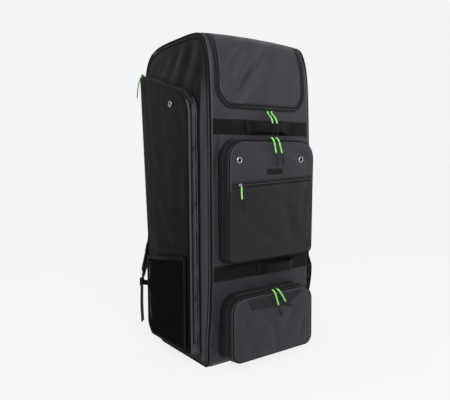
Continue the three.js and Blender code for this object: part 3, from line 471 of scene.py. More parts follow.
def woven_cloth(name, light, dark, roughness, lower=None, strip=None, shade_fade=None, sheen=0.04, gloss=0.28):
    """Coated plain weave: fine threads, soft mottling, rubbed lighter spots and a satin sheen.

    lower is a darker part below a slanted line, as height at the middle, slope and colour: the darker cloth
    below the front pocket's slanted zip, and painted shade behind the side nets.
    strip is a paler part in front, painted light for the light that the front edge catches, as its edge in
    y, its top and its colour.
    fade is painted shade, a slow darkening downwards, as the heights where it starts and ends and its
    colour.
    """
    shade = Shade(name)
    x, y, z = shade.axes()
    turn = 2 * math.pi / WEAVE_STEP
    warp = ((x + y * 0.8) * turn).sin()
    weft = ((z + y * 0.35) * turn).sin()
    grain = warp * weft
    soft = shade.noise(9.0, 4.0, 0.6)
    fine = shade.noise(240.0, 3.0, 0.6)
    rub = ((shade.noise(26.0, 5.0, 0.65) - 0.55) * 5.0).clamped()
    tone = (soft * 0.7 + fine * 0.3 + grain * 0.04).clamped()
    color = shade.blend(tone, dark, light)
    if shade_fade is not None:
        # Painted shade: the colour grows slowly darker towards the bottom.
        high, low, shaded_tone = shade_fade
        color = shade.blend(((high - z) * (1 / (high - low))).clamped(), color, shaded_tone)
    if lower is not None:
        # Below the slanted line the colour darkens: the real darker cloth under the front pocket's slanted
        # zip, and painted shade behind the side nets.
        level, slope, darker_cloth_and_shade = lower
        below = ((x * slope + level - z) * 400.0).clamped()
        color = shade.blend(below, color, darker_cloth_and_shade)
    if strip is not None:
        # Painted light: in front of the edge and below the top the cloth is made paler, as where it catches
        # the light.
        edge, top, painted_light_tone = strip
        front = ((edge - y) * 220.0).clamped() * ((top - z) * 14.0).clamped()
        color = shade.blend(front, color, painted_light_tone)
    dusty = tuple(min(1.0, channel * 1.35) for channel in light[:3]) + (1.0,)
    color = shade.blend(rub * 0.12, color, dusty)
    creased = shade.noise(38.0, 4.0, 0.6, stretch=(1.0, 1.0, 0.45))
    normal = shade.bump(creased, 0.0011, 0.55)
    normal = shade.bump(grain * 0.6 + fine * 0.4, WEAVE_RELIEF, 0.8, normal)
    return shade.finish(color=color, roughness=(roughness + soft * 0.14 - rub * 0.05), normal=normal,
                        sheen=sheen, sheen_roughness=0.45, specular=gloss)


def ribbed_webbing(name, light, dark, rib=0.0019, roughness=0.62):
    """Woven tape: ribs across it, a herringbone, and denser selvedges."""
    shade = Shade(name)
    along, across = shade.along_across()
    turn = 2 * math.pi
    zigzag = ((across * (turn / HERRINGBONE_STEP)).sin().math("ARCSINE")) * 0.32
    ribs = (along * (turn / rib) + zigzag * 3.0).sin()
    cords = (across * (turn / WEBBING_CORD_STEP)).sin()
    height = ribs * 0.65 + cords * 0.35
    tone = (height * 0.25 + shade.noise(60.0, 4.0) * 0.75).clamped()
    normal = shade.bump(height, RIB_RELIEF, 0.9)
    return shade.finish(color=shade.blend(tone, dark, light), roughness=roughness + height * 0.05,
                        normal=normal, sheen=0.02, sheen_roughness=0.5, specular=0.08)


def moulded(name, light, dark, roughness, grain=0.00012, metallic=0.0, coat=0.0, scale=420.0, gloss=0.5):
    """Plastic, rubber or metal with a fine grain, faint smudges and brighter rubbed spots."""
    shade = Shade(name)
    fine = shade.noise(scale, 4.0, 0.6)
    wide = shade.noise(24.0, 4.0, 0.6)
    tone = (fine * 0.45 + wide * 0.55).clamped()
    normal = shade.bump(fine, grain, 0.7)
    return shade.finish(color=shade.blend(tone, dark, light), roughness=roughness + wide * 0.16,
                        metallic=metallic, normal=normal, coat=coat, coat_roughness=0.25,
                        specular=gloss)


def spacer_mesh(name, light, dark):
    """Padded air mesh: rows of small round openings, painted darker inside as shade."""
    shade = Shade(name)
    x, y, z = shade.axes()
    turn = 2 * math.pi / AIR_MESH_STEP
    holes = (x * turn).sin() * (z * turn).sin()
    sunk = (holes.abs() * 1.8 - 0.7).clamped()
    fine = shade.noise(300.0, 3.0)
    # Painted shade: the sunken holes are coloured darker.
    color = shade.blend((sunk * 0.8 + fine * 0.2).clamped(), light, dark)
    normal = shade.bump(sunk * -1.0 + fine * 0.15, AIR_MESH_RELIEF, 0.9)
    return shade.finish(color=color, roughness=0.82 + fine * 0.1, normal=normal, sheen=0.04,
                        sheen_roughness=0.5, specular=0.15)


# The camera that was fitted to the photograph: turns in degrees, place in metres, lens in pixels.
CAMERA_TURNS = (35.49, -4.743, -0.481)
CAMERA_PLACE = (-0.95878, -1.31801, 0.60551)
CAMERA_LENS, PHOTO_WIDTH, SENSOR_WIDTH = 499.64, 450, 36.0


def add_camera():
    azimuth, elevation, roll = (math.radians(value) for value in CAMERA_TURNS)
    ahead = Vector((math.sin(azimuth) * math.cos(elevation), math.cos(azimuth) * math.cos(elevation),
                    math.sin(elevation)))
    right = Vector((math.cos(azimuth), -math.sin(azimuth), 0))
    up = right.cross(ahead)
    turned = math.cos(roll) * right + math.sin(roll) * up
    upright = -math.sin(roll) * right + math.cos(roll) * up
    data = bpy.data.cameras.new("camera")
    data.sensor_width = SENSOR_WIDTH
    data.sensor_fit = "HORIZONTAL"
    data.lens = SENSOR_WIDTH * CAMERA_LENS / PHOTO_WIDTH
    camera = bpy.data.objects.new("camera", data)
    bpy.context.scene.collection.objects.link(camera)
    turn = Matrix((turned, upright, -ahead)).transposed().to_4x4()
    camera.matrix_world = Matrix.Translation(CAMERA_PLACE) @ turn
    bpy.context.scene.camera = camera


add_camera()

# The finishes. Heights and places inside them are in metres.
GREY, DEEP = tint(37, 36, 41), tint(25, 24, 28)
SIDE_GREY, SIDE_DEEP = tint(14, 14, 16), tint(7, 7, 8)
# Painted light: paler front strips on the side panels and on the side pockets' gussets, where they catch the
# light.
LIT_PANEL_STRIP = (-0.119, 0.84, tint(54, 54, 58))
LIT_GUSSET_STRIP = (-0.084, 2.0, tint(52, 52, 56))
# Painted shade on the side pockets, darker towards the bottom.
SIDE_POCKET_PAINTED_SHADE = (0.72, 0.30, tint(10, 10, 11))
# Painted shade: the side pocket's face is darkened below this height, behind the net.
SHADE_BEHIND_NET = (0.300, 0.0, tint(6, 6, 7))
BELOW_SLANTED_ZIP = (0.5245, 0.0530, tint(13, 13, 15))
cloth = woven_cloth("coated cloth", GREY, DEEP, 0.37, sheen=0.02, gloss=0.22)
panel_cloth = woven_cloth("side cloth", SIDE_GREY, SIDE_DEEP, 0.42, sheen=0.01, gloss=0.08,
                          strip=LIT_PANEL_STRIP)
side_pocket_cloth = woven_cloth("side pocket cloth", tint(25, 25, 27), tint(16, 16, 18), 0.45, sheen=0.0,
                                gloss=0.035, shade_fade=SIDE_POCKET_PAINTED_SHADE, lower=SHADE_BEHIND_NET)
pocket_cloth = woven_cloth("pocket cloth", GREY, DEEP, 0.38, sheen=0.02, gloss=0.21,
                           lower=BELOW_SLANTED_ZIP)
gusset_cloth = woven_cloth("gusset cloth", SIDE_GREY, SIDE_DEEP, 0.46, sheen=0.02, gloss=0.12,
                           strip=LIT_GUSSET_STRIP)
front_gusset_cloth = woven_cloth("front gusset cloth", tint(22, 22, 24), tint(12, 12, 14), 0.5, sheen=0.02,
                                 gloss=0.10)
dark_cloth = woven_cloth("dark cloth", tint(10, 10, 11), tint(6, 6, 7), 0.55, sheen=0.01, gloss=0.05)
patch_cloth = woven_cloth("patch cloth", tint(25, 25, 28), tint(17, 17, 19), 0.38, sheen=0.02, gloss=0.14)
webbing = ribbed_webbing("webbing", tint(12, 12, 13), tint(6, 6, 7))
zip_tape = ribbed_webbing("zip tape", tint(12, 12, 13), tint(7, 7, 8), rib=0.0014, roughness=0.6)
flap_tape = ribbed_webbing("flap zip tape", tint(26, 26, 29), tint(16, 16, 18), rib=0.0014, roughness=0.6)
label_finish = ribbed_webbing("bare woven label", tint(9, 9, 10), tint(5, 5, 6), rib=0.0010)
coil = moulded("zip coil", tint(30, 30, 33), tint(17, 17, 19), 0.34, scale=700.0)
thread = moulded("sewing thread", tint(46, 46, 50), tint(28, 28, 31), 0.5, scale=900.0)
green_rubber = moulded("green rubber", tint(140, 214, 112), tint(62, 150, 50), 0.42, coat=0.08, scale=130.0)
cord_finish = moulded("pull cord", tint(24, 24, 27), tint(12, 12, 14), 0.6, scale=900.0, gloss=0.15)
bright_metal = moulded("eyelet metal", tint(168, 169, 172), tint(118, 120, 124), 0.22, 0.00003, 1.0)
dark_metal = moulded("coated metal", tint(34, 34, 37), tint(20, 20, 22), 0.32, 0.00005, 0.4)
base_plastic = moulded("base plastic", tint(12, 12, 14), tint(6, 6, 7), 0.5, 0.0003, scale=260.0, gloss=0.12)
net_cord = moulded("net cord", tint(9, 9, 10), tint(4, 4, 5), 0.7, scale=900.0, gloss=0.06)
air_mesh = spacer_mesh("air mesh", tint(26, 26, 29), tint(9, 9, 10))
padded_cloth = woven_cloth("padded cloth", tint(20, 20, 22), tint(12, 12, 14), 0.5, sheen=0.03, gloss=0.15)

# Pulls: the slider's seat, then sleeve and tail points counted from it.
SLIDER_SEATS = {
    "flap": (15.5, -FRONT_PLANE - FRONT_CROWN, FLAP_SILL),
    "mid": ((MID["left"] + MID["right"]) / 2 - 3, -FRONT_PLANE - MID["depth"], MID["top"]),
    "bottom": ((LOW["left"] + LOW["right"]) / 2 - 1, -FRONT_PLANE - LOW["depth"], LOW["top"]),
    "front": (-126.0, -FRONT_PLANE - MID["depth"], 536.0),
    "side_left": (-204.2, 198.9, 878.4),
    "side_right": (204.2, 198.9, 878.4),
}
PULLS = [
    ("flap_a", "flap", [(-7.5, -4.6, -9.3), (-7.5, -6, -16), (-7.5, -21, -31), (-7.5, -28, -47)],
     [(-7.5, -28.3, -47.9), (-6.5, -29, -63), (-7.5, -29, -82)]),
    ("flap_b", "flap", [(7.5, -4.6, -9.3), (7.5, -6, -16), (8.5, -21, -31), (9.5, -28, -47)],
     [(9.5, -28.3, -47.9), (8.5, -29, -63), (9.5, -29, -82)]),
    ("mid_a", "mid", [(-9, 2.6, 0.5), (-9, -4, 0), (-6, -8.6, -11), (2, -8.6, -43)],
     [(2.2, -8.6, -43.9), (6, -8.6, -60), (9, -8.6, -79)]),
    ("mid_b", "mid", [(9, 2.6, 0.5), (9.5, -4, 0), (13, -8.6, -11), (24, -8.6, -43)],
     [(24.3, -8.6, -43.9), (29, -8.6, -59), (33, -8.6, -78)]),
    ("front", "front", [(0, -5.6, -7.2), (0, -6.2, -16), (-1, -8, -29), (0, -8, -43)],
     [(0.2, -8, -44), (5, -8, -60), (13, -8, -77)]),
    ("bottom_a", "bottom", [(-8.5, 2.6, 0.5), (-8.5, -3, 0), (-5.5, -9.6, -11), (5.5, -10.2, -45)],
     [(5.9, -10.2, -45.9), (11.5, -10, -62), (20.5, -10, -79)]),
    ("bottom_b", "bottom", [(8.5, 2.6, 0.5), (9.5, -3, 0), (15.5, -9.6, -11), (33.5, -10.2, -39)],
     [(34.4, -10.2, -39.8), (47.5, -10, -50), (65.5, -10, -58)]),
    ("side_left", "side_left", [(0, 8.4, 0.6), (0, 13, 0), (-1, 28, -16), (-1, 37, -33)],
     [(-1, 37.4, -33.9), (-1, 42, -50), (-1, 46, -67)]),
    ("side_right", "side_right", [(0, 8.4, 0.6), (0, 13, 0), (1, 28, -16), (1, 37, -33)],
     [(1, 37.4, -33.9), (1, 42, -50), (1, 46, -67)]),
]
TAIL_DIAMETER = 3.2
SLEEVE_RADIUS = 2.4


def steady_out(path, hint):
    """Outward ways for a tube: a fixed hint, made square to the path."""
    along = open_steps(path)
    hint = np.asarray(hint, float)
    return unit(hint - along * (along @ hint)[:, None])


def add_pull(name, seat, sleeve, tail):
    seat = np.array(SLIDER_SEATS[seat])
    hint = (1.0, 0.2, 0.1) if "side" not in name else (0.2, 0.3, 1.0)
    route = catmull(seat + np.array(tail, float), 22)
    piece = sweep(f"tail_cord_{name}", route, steady_out(route, hint), circle(TAIL_DIAMETER / 2, 8),
                  cord_finish, nodes=[f"tail_{name}"], slot="pull_cord")
    tuple(route[0] * MM)
    [tuple(float(v) for v in point * MM) for point in route]
    tube = catmull(seat + np.array(sleeve, float), 30)
    share = np.linspace(0, 1, len(tube))
    radius = SLEEVE_RADIUS * (1 - 0.12 * np.cos(2 * math.pi * share * 6) * (share > 0.35)
                              - 0.35 * np.clip(1 - share * 14, 0, 1) ** 2
                              - 0.35 * np.clip(share * 14 - 13, 0, 1) ** 2)
    profile = circle(1.0, 12)[None] * radius[:, None, None]
    sweep(f"sleeve_rubber_{name}", tube, steady_out(tube, hint), profile, green_rubber,
          nodes=[f"sleeve_{name}"], slot="green_rubber")


for row in PULLS:
    add_pull(*row)


# What repeats along a line: stitches and zip teeth.
def socket_key(group, name):
    return next(item.identifier for item in group.interface.items_tree
                if item.item_type == "SOCKET" and item.name == name)


def repeat_tree(name, unit_mesh_nodes, material):
    """A tree that sets a small shape at even steps along a line, turned the way that the line runs."""
    group = bpy.data.node_groups.new(name, "GeometryNodeTree")
    face = group.interface
    face.new_socket("Geometry", in_out="INPUT", socket_type="NodeSocketGeometry")
    for key in ("Spacing", "Length", "Width", "Height"):
        face.new_socket(key, in_out="INPUT", socket_type="NodeSocketFloat")
    face.new_socket("Geometry", in_out="OUTPUT", socket_type="NodeSocketGeometry")
    nodes, links = group.nodes, group.links
    inlet, outlet = nodes.new("NodeGroupInput"), nodes.new("NodeGroupOutput")
    curve = nodes.new("GeometryNodeMeshToCurve")
    links.new(inlet.outputs["Geometry"], curve.inputs[0])
    even = nodes.new("GeometryNodeResampleCurve")
    even.mode = "LENGTH"
    links.new(curve.outputs[0], even.inputs["Curve"])
    links.new(inlet.outputs["Spacing"], even.inputs["Length"])
    size = nodes.new("ShaderNodeCombineXYZ")
    for key, axis in (("Width", 0), ("Height", 1), ("Length", 2)):
        links.new(inlet.outputs[key], size.inputs[axis])
    shape = unit_mesh_nodes(nodes, links, size)
    tangent = nodes.new("GeometryNodeInputTangent")
    turn = nodes.new("FunctionNodeAlignEulerToVector")
    turn.axis = "Z"
    links.new(tangent.outputs[0], turn.inputs["Vector"])
    scatter = nodes.new("GeometryNodeInstanceOnPoints")
    links.new(even.outputs[0], scatter.inputs["Points"])
    links.new(shape, scatter.inputs["Instance"])
    links.new(turn.outputs[0], scatter.inputs["Rotation"])
    solid = nodes.new("GeometryNodeRealizeInstances")
    links.new(scatter.outputs[0], solid.inputs[0])
    paint = nodes.new("GeometryNodeSetMaterial")
    paint.inputs["Material"].default_value = material
    links.new(solid.outputs[0], paint.inputs["Geometry"])
    links.new(paint.outputs[0], outlet.inputs[0])
    return group


def stitch_shape(nodes, links, size):
    grain = nodes.new("GeometryNodeMeshUVSphere")
    grain.inputs["Segments"].default_value = 6
    grain.inputs["Rings"].default_value = 3
    grain.inputs["Radius"].default_value = 0.5
    scaled = nodes.new("GeometryNodeTransform")
    links.new(grain.outputs[0], scaled.inputs["Geometry"])
    links.new(size.outputs[0], scaled.inputs["Scale"])
    return scaled.outputs[0]


def tooth_shape(nodes, links, size):
    block = nodes.new("GeometryNodeMeshCube")
    links.new(size.outputs[0], block.inputs["Size"])
    return block.outputs[0]


STITCH = {"Spacing": 3.4, "Length": 2.5, "Width": 0.55, "Height": 0.55}
TOOTH = {"Spacing": 1.5, "Length": 0.8, "Width": 3.0, "Height": 1.1}
stitch_tree = repeat_tree("stitches", stitch_shape, thread)
tooth_tree = repeat_tree("zip teeth", tooth_shape, coil)


def grown(name, lines, tree, values, nodes=()):
    """Runs a tree along some lines, with values in millimetres, and keeps the plain mesh."""
    points, edges = [], []
    for line in lines:
        start = len(points)
        points += [tuple(point) for point in np.asarray(line, float) * MM]
        edges += [(start + i, start + i + 1) for i in range(len(line) - 1)]
    mesh = bpy.data.meshes.new(name)
    mesh.from_pydata(points, edges, [])
    guide = bpy.data.objects.new(name + "_guide", mesh)
    bpy.context.scene.collection.objects.link(guide)
    modifier = guide.modifiers.new("repeat", "NODES")
    modifier.node_group = tree
    for key, value in values.items():
        modifier[socket_key(tree, key)] = value * MM
    graph = bpy.context.evaluated_depsgraph_get()
    made = bpy.data.meshes.new_from_object(guide.evaluated_get(graph))
    guide.modifiers.remove(modifier)
    bpy.data.objects.remove(guide)
    made.polygons.foreach_set("use_smooth", [True] * len(made.polygons))
    piece = bpy.data.objects.new(name, made)
    bpy.context.scene.collection.objects.link(piece)
    return settle(piece, nodes)


stitch_lines, tooth_lines = [], []


def beside(path, out, across, lift):
    """A line beside a path on the same surface."""
    path, out = np.asarray(path, float), unit(np.asarray(out, float))
    way = unit(np.cross(open_steps(path), out))
    return path + way * across + out * lift


def add_zip(name, path, out, width, nodes, height=1.5, finish=None):
    """A zip band: tape and welts, rows of stitches and the coil's teeth."""
    sweep(name, path, out, zip_profile(width, height), finish or zip_tape, nodes=nodes, slot="zip_tape")
    tooth_lines.append(beside(path, out, 0.0, 0.75 * height))
    for across in (-width / 2 + 1.4, width / 2 - 1.4):
        stitch_lines.append(beside(path, out, across, 1.22 * height))


# The body: cloth wrapped over front, top and back, with a softer panel at each side.
def add_body():
    stations = np.concatenate([[-RIM], np.linspace(-0.94, 0.94, 74), [RIM]])
    rows = []
    for across in stations:
        half = half_width(OUTLINE[:, 1])
        x = across * half
        under = OUTLINE_OUT[:, 1] < -0.3
        crown = np.where(under, 0, FRONT_CROWN * (1 - (across / RIM) ** 2))
        facing = np.clip((-OUTLINE_OUT[:, 0] - 0.2) / 0.3, 0, 1)
        edge = min(1.0, (RIM - abs(across)) / 0.05)
        height = crown - front_relief(x, OUTLINE[:, 1]) * facing * edge
        rows.append(np.column_stack([x, OUTLINE + OUTLINE_OUT * height[:, None]]))
    wrap = np.array(rows)
    middle = np.array([0.1 * HALF_DEPTH, BASE_TOP + 0.5 * BODY_HEIGHT])
    rim = OUTLINE - OUTLINE_OUT * EDGE_CHAMFER

    def panel(side):
        rings = []
        for reach in np.linspace(1, 0.03, 40) ** 0.9:
            spot = middle + (rim - middle) * reach
            edge = np.clip((1 - reach) * 14, 0, 1)
            x = side * (half_width(spot[:, 1]) - side_relief(spot[:, 0], spot[:, 1]) * edge
                        + 2.5 * np.clip((1 - reach) * 8, 0, 1))
            rings.append(np.column_stack([x, spot]))
        return rings

    left, right = panel(-1), panel(1)
    rings = np.array(left[::-1] + list(wrap) + right)
    count, around = rings.shape[:2]
    points, faces = closed_by_fans(rings)
    piece = put("body_cloth", points, faces, cloth, nodes=["body_shell"], slot="coated_cloth")
    piece.data.materials.append(panel_cloth)
    side_faces = len(left) - 1
    index = np.zeros(len(faces), int)
    index[:side_faces * around] = 1
    index[(count - 1 - side_faces) * around:] = 1
    piece.data.polygons.foreach_set("material_index", index)
    outward(piece)


def slab(name, outer, inner, finish, uv=None, **options):
    """A closed slab between two grids of points with the same counts."""
    rows, columns = outer.shape[:2]
    size = rows * columns
    faces = grid_faces(rows, columns)
    faces += [tuple(size + v for v in face[::-1]) for face in grid_faces(rows, columns)]
    rim = ([(0, c) for c in range(columns)] + [(r, columns - 1) for r in range(1, rows)]
           + [(rows - 1, c) for c in range(columns - 2, -1, -1)] + [(r, 0) for r in range(rows - 2, 0, -1)])
    rim = [r * columns + c for r, c in rim]
    for i, a in enumerate(rim):
        b = rim[(i + 1) % len(rim)]
        faces.append((b, a, a + size, b + size))
    points = np.vstack([outer.reshape(-1, 3), inner.reshape(-1, 3)])
    if uv is not None:
        uv = np.vstack([uv.reshape(-1, 2)] * 2)
    return outward(put(name, points, faces, finish, uv=uv, **options))


FLAP_SILL_TRAVEL = travel_at_front(FLAP_SILL)
FLAP_HINGE_TRAVEL = travel_at_top(FLAP_HINGE_Y)


def flap_edge_x(up, inset):
    """Half width of the flap at a distance up from its sill, less an inset all round."""
    radius = FLAP_CORNER - inset
    reach = np.clip(up - inset, 0, radius)
    return FLAP_HALF_WIDTH - inset - radius + np.sqrt(np.maximum(0, radius ** 2 - (radius - reach) ** 2))


def add_flap():
    inset = 6.0
    top = FLAP_HINGE_TRAVEL - FLAP_SILL_TRAVEL
    corner = FLAP_CORNER - inset
    turn = np.linspace(0, math.pi / 2, 16)
    up = np.concatenate([inset + corner * (1 - np.cos(turn)), np.linspace(FLAP_CORNER, top, 74)[1:]])
    share = np.sin(np.linspace(-1, 1, 71) * math.pi / 2) * 0.6 + np.linspace(-1, 1, 71) * 0.4
    edge = flap_edge_x(up, inset)[:, None]
    x = share[None] * edge
    travel = FLAP_SILL_TRAVEL + np.repeat(up[:, None], len(share), axis=1)
    from_side = edge * (1 - np.abs(share[None]))
    margin = np.minimum(np.minimum(from_side, (up - inset)[:, None] + 0 * x), 9.0) / 9.0
    lift = 0.5 + 2.3 * (1 - (1 - margin) ** 2.5)
    outer, _ = on_wrap(x, travel, lift)
    inner, _ = on_wrap(x, travel, -2.5)
    slab("flap_cloth", outer, inner, cloth, nodes=["top_flap"], slot="coated_cloth")
    line_x = flap_edge_x(up, inset + 5)
    loop = [(-a, b) for a, b in zip(line_x[::-1], up[::-1])] + list(zip(line_x, up))[1:]
    loop = np.array([(a, max(b, inset + 5)) for a, b in loop])
    sewn, _ = on_wrap(loop[:, 0], FLAP_SILL_TRAVEL + loop[:, 1], 2.9)
    stitch_lines.append(sewn)


def flap_loop(inset):
    """The flap's U as points across and up, from the left hinge round to the right one."""
    radius = FLAP_CORNER - inset
    half = FLAP_HALF_WIDTH - inset
    top = FLAP_HINGE_TRAVEL - FLAP_SILL_TRAVEL
    side = np.linspace(top, FLAP_CORNER, 60)[:-1]
    turn = np.linspace(0, math.pi / 2, 22)
    left = [(-half, up) for up in side]
    left += [(-half + radius * (1 - math.cos(t)), inset + radius * (1 - math.sin(t))) for t in turn]
    across = [(x, inset) for x in np.linspace(-half + radius, half - radius, 44)[1:-1]]
    return np.array(left + across + [(-a, b) for a, b in left[::-1]])


def add_flap_zip():
    loop = flap_loop(0.0)
    path, out = on_wrap(loop[:, 0], FLAP_SILL_TRAVEL + loop[:, 1], 0.0)
    add_zip("flap_zip", path, out, 16.5, ["flap_zip_band"], 2.1, flap_tape)


PIPING_RADIUS = 2.5


def add_piping(name, side):
    """The corded seam round a side panel, with a second sewn welt beside it."""
    lift = (PIPING_RADIUS + 0.3) * math.sqrt(0.5) - EDGE_CHAMFER / 2
    path = np.column_stack([side * (half_width(OUTLINE[:, 1]) + lift), OUTLINE + OUTLINE_OUT * lift])
    out = np.column_stack([np.zeros(len(OUTLINE)), OUTLINE_OUT])
    sweep(f"piping_cord_{name}", path, out, circle(PIPING_RADIUS, 12), dark_cloth, closed=True,
          nodes=[f"piping_{name}"], slot="dark_cloth")
    shown = slice(0, OPEN_COUNT)
    inner = np.column_stack([side * (half_width(OUTLINE[:, 1]) - 0.2), OUTLINE - OUTLINE_OUT * 13])[shown]
    sweep(f"welt_{name}", inner, (side, 0, 0), tape_profile(4.2, 1.6), dark_cloth, slot="dark_cloth")
    x = side * (half_width(OUTLINE[shown, 1]) - 9.0)
    stitch_lines.append(np.column_stack([x, OUTLINE[shown] + OUTLINE_OUT[shown] * 0.5]))


def add_base():
    half = BODY_WIDTH / 2 - EDGE_CHAMFER - 0.3
    front, back = SIDE_OUTLINE[0][0] * HALF_DEPTH, SIDE_OUTLINE[-1][0] * HALF_DEPTH
    corners = [(-half, front, 14), (half, front, 14), (half, back, 14), (-half, back, 14)]
    rings = []
    for inset, z in ((2, 0), (0.6, 0.25), (0, 1.0), (0, 2.3), (0.8, 3.0), (3, 3.2)):
        loop = rounded_outline(corners, inset, 8, 12)
        rings.append(np.column_stack([loop, np.full(len(loop), z)]))
    rings = np.array(rings)
    faces = grid_faces(*rings.shape[:2], wrap=True) + end_caps(*rings.shape[:2])
    outward(put("base_sole", rings, faces, base_plastic, nodes=["base_panel"], slot="base_plastic",
                flat_angle=50))


def add_strap(name, z):
    half = half_width(z) - 9.0
    path, out = on_wrap(np.linspace(-half, half, 90), travel_at_front(z), 0.2)
    sweep(f"{name}_webbing", path, out, tape_profile(STRAP_WIDTH, 2.1), webbing, nodes=[name],
          slot="webbing")
    for across in (-STRAP_WIDTH / 2 + 3, STRAP_WIDTH / 2 - 3):
        stitch_lines.append(beside(path, out, across, 2.4))


HANDLE_ARCH = [(0, 0), (.05, 0), (.09, .12), (.16, .62), (.26, .93), (.38, 1), (.62, 1), (.74, .93),
               (.84, .62), (.91, .12), (.95, 0), (1, 0)]


def add_handle(name, start, end, rise, z):
    """A grab handle: webbing lying flat at its ends and folded to a fuller grip between."""
    arch = catmull(HANDLE_ARCH, 90)
    face = FRONT_PLANE + FRONT_CROWN + 2.0
    x = start + (end - start) * arch[:, 0]
    path = np.column_stack([x, -face - 1.9 - rise * np.maximum(arch[:, 1], 0), np.full(len(x), z)])
    out = steady_out(path, (0, -1, 0))
    grip = np.clip(arch[:, 1] * 1.4 - 0.3, 0, 1)
    half = 18.5 - 4.5 * grip
    profile = []
    for h, g in zip(half, grip):
        top = [(-h, 0), (-h * 0.97, 1.3), (-h * 0.8, 1.9 + 0.6 * g), (-h * 0.4, 2.0 + 1.1 * g),
               (0, 2.0 + 1.5 * g)]
        top += [(-a, b) for a, b in top[-2::-1]]
        below = [(-a, -b * 0.9 if b else 0.0) for a, b in top[1:-1]]
        profile.append(top + below)
    sweep(f"{name}_grip", path, out, np.array(profile), webbing, nodes=[name], slot="webbing")
    y, bottom, top = -face - 4.1, z - 15, z + 15
    for low, high in ((0.005, 0.05), (0.95, 0.995)):
        left, right = start + (end - start) * low, start + (end - start) * high
        corners = [(left, y, bottom), (right, y, bottom), (right, y, top), (left, y, top)]
        stitch_lines.append(np.array(corners + corners[:1]))
        stitch_lines.append(np.array([corners[0], corners[2]]))
        stitch_lines.append(np.array([corners[3], corners[1]]))


POCKET_ARC_STEPS, POCKET_EDGE_STEPS = 14, 30
GUSSET_RINGS = 16


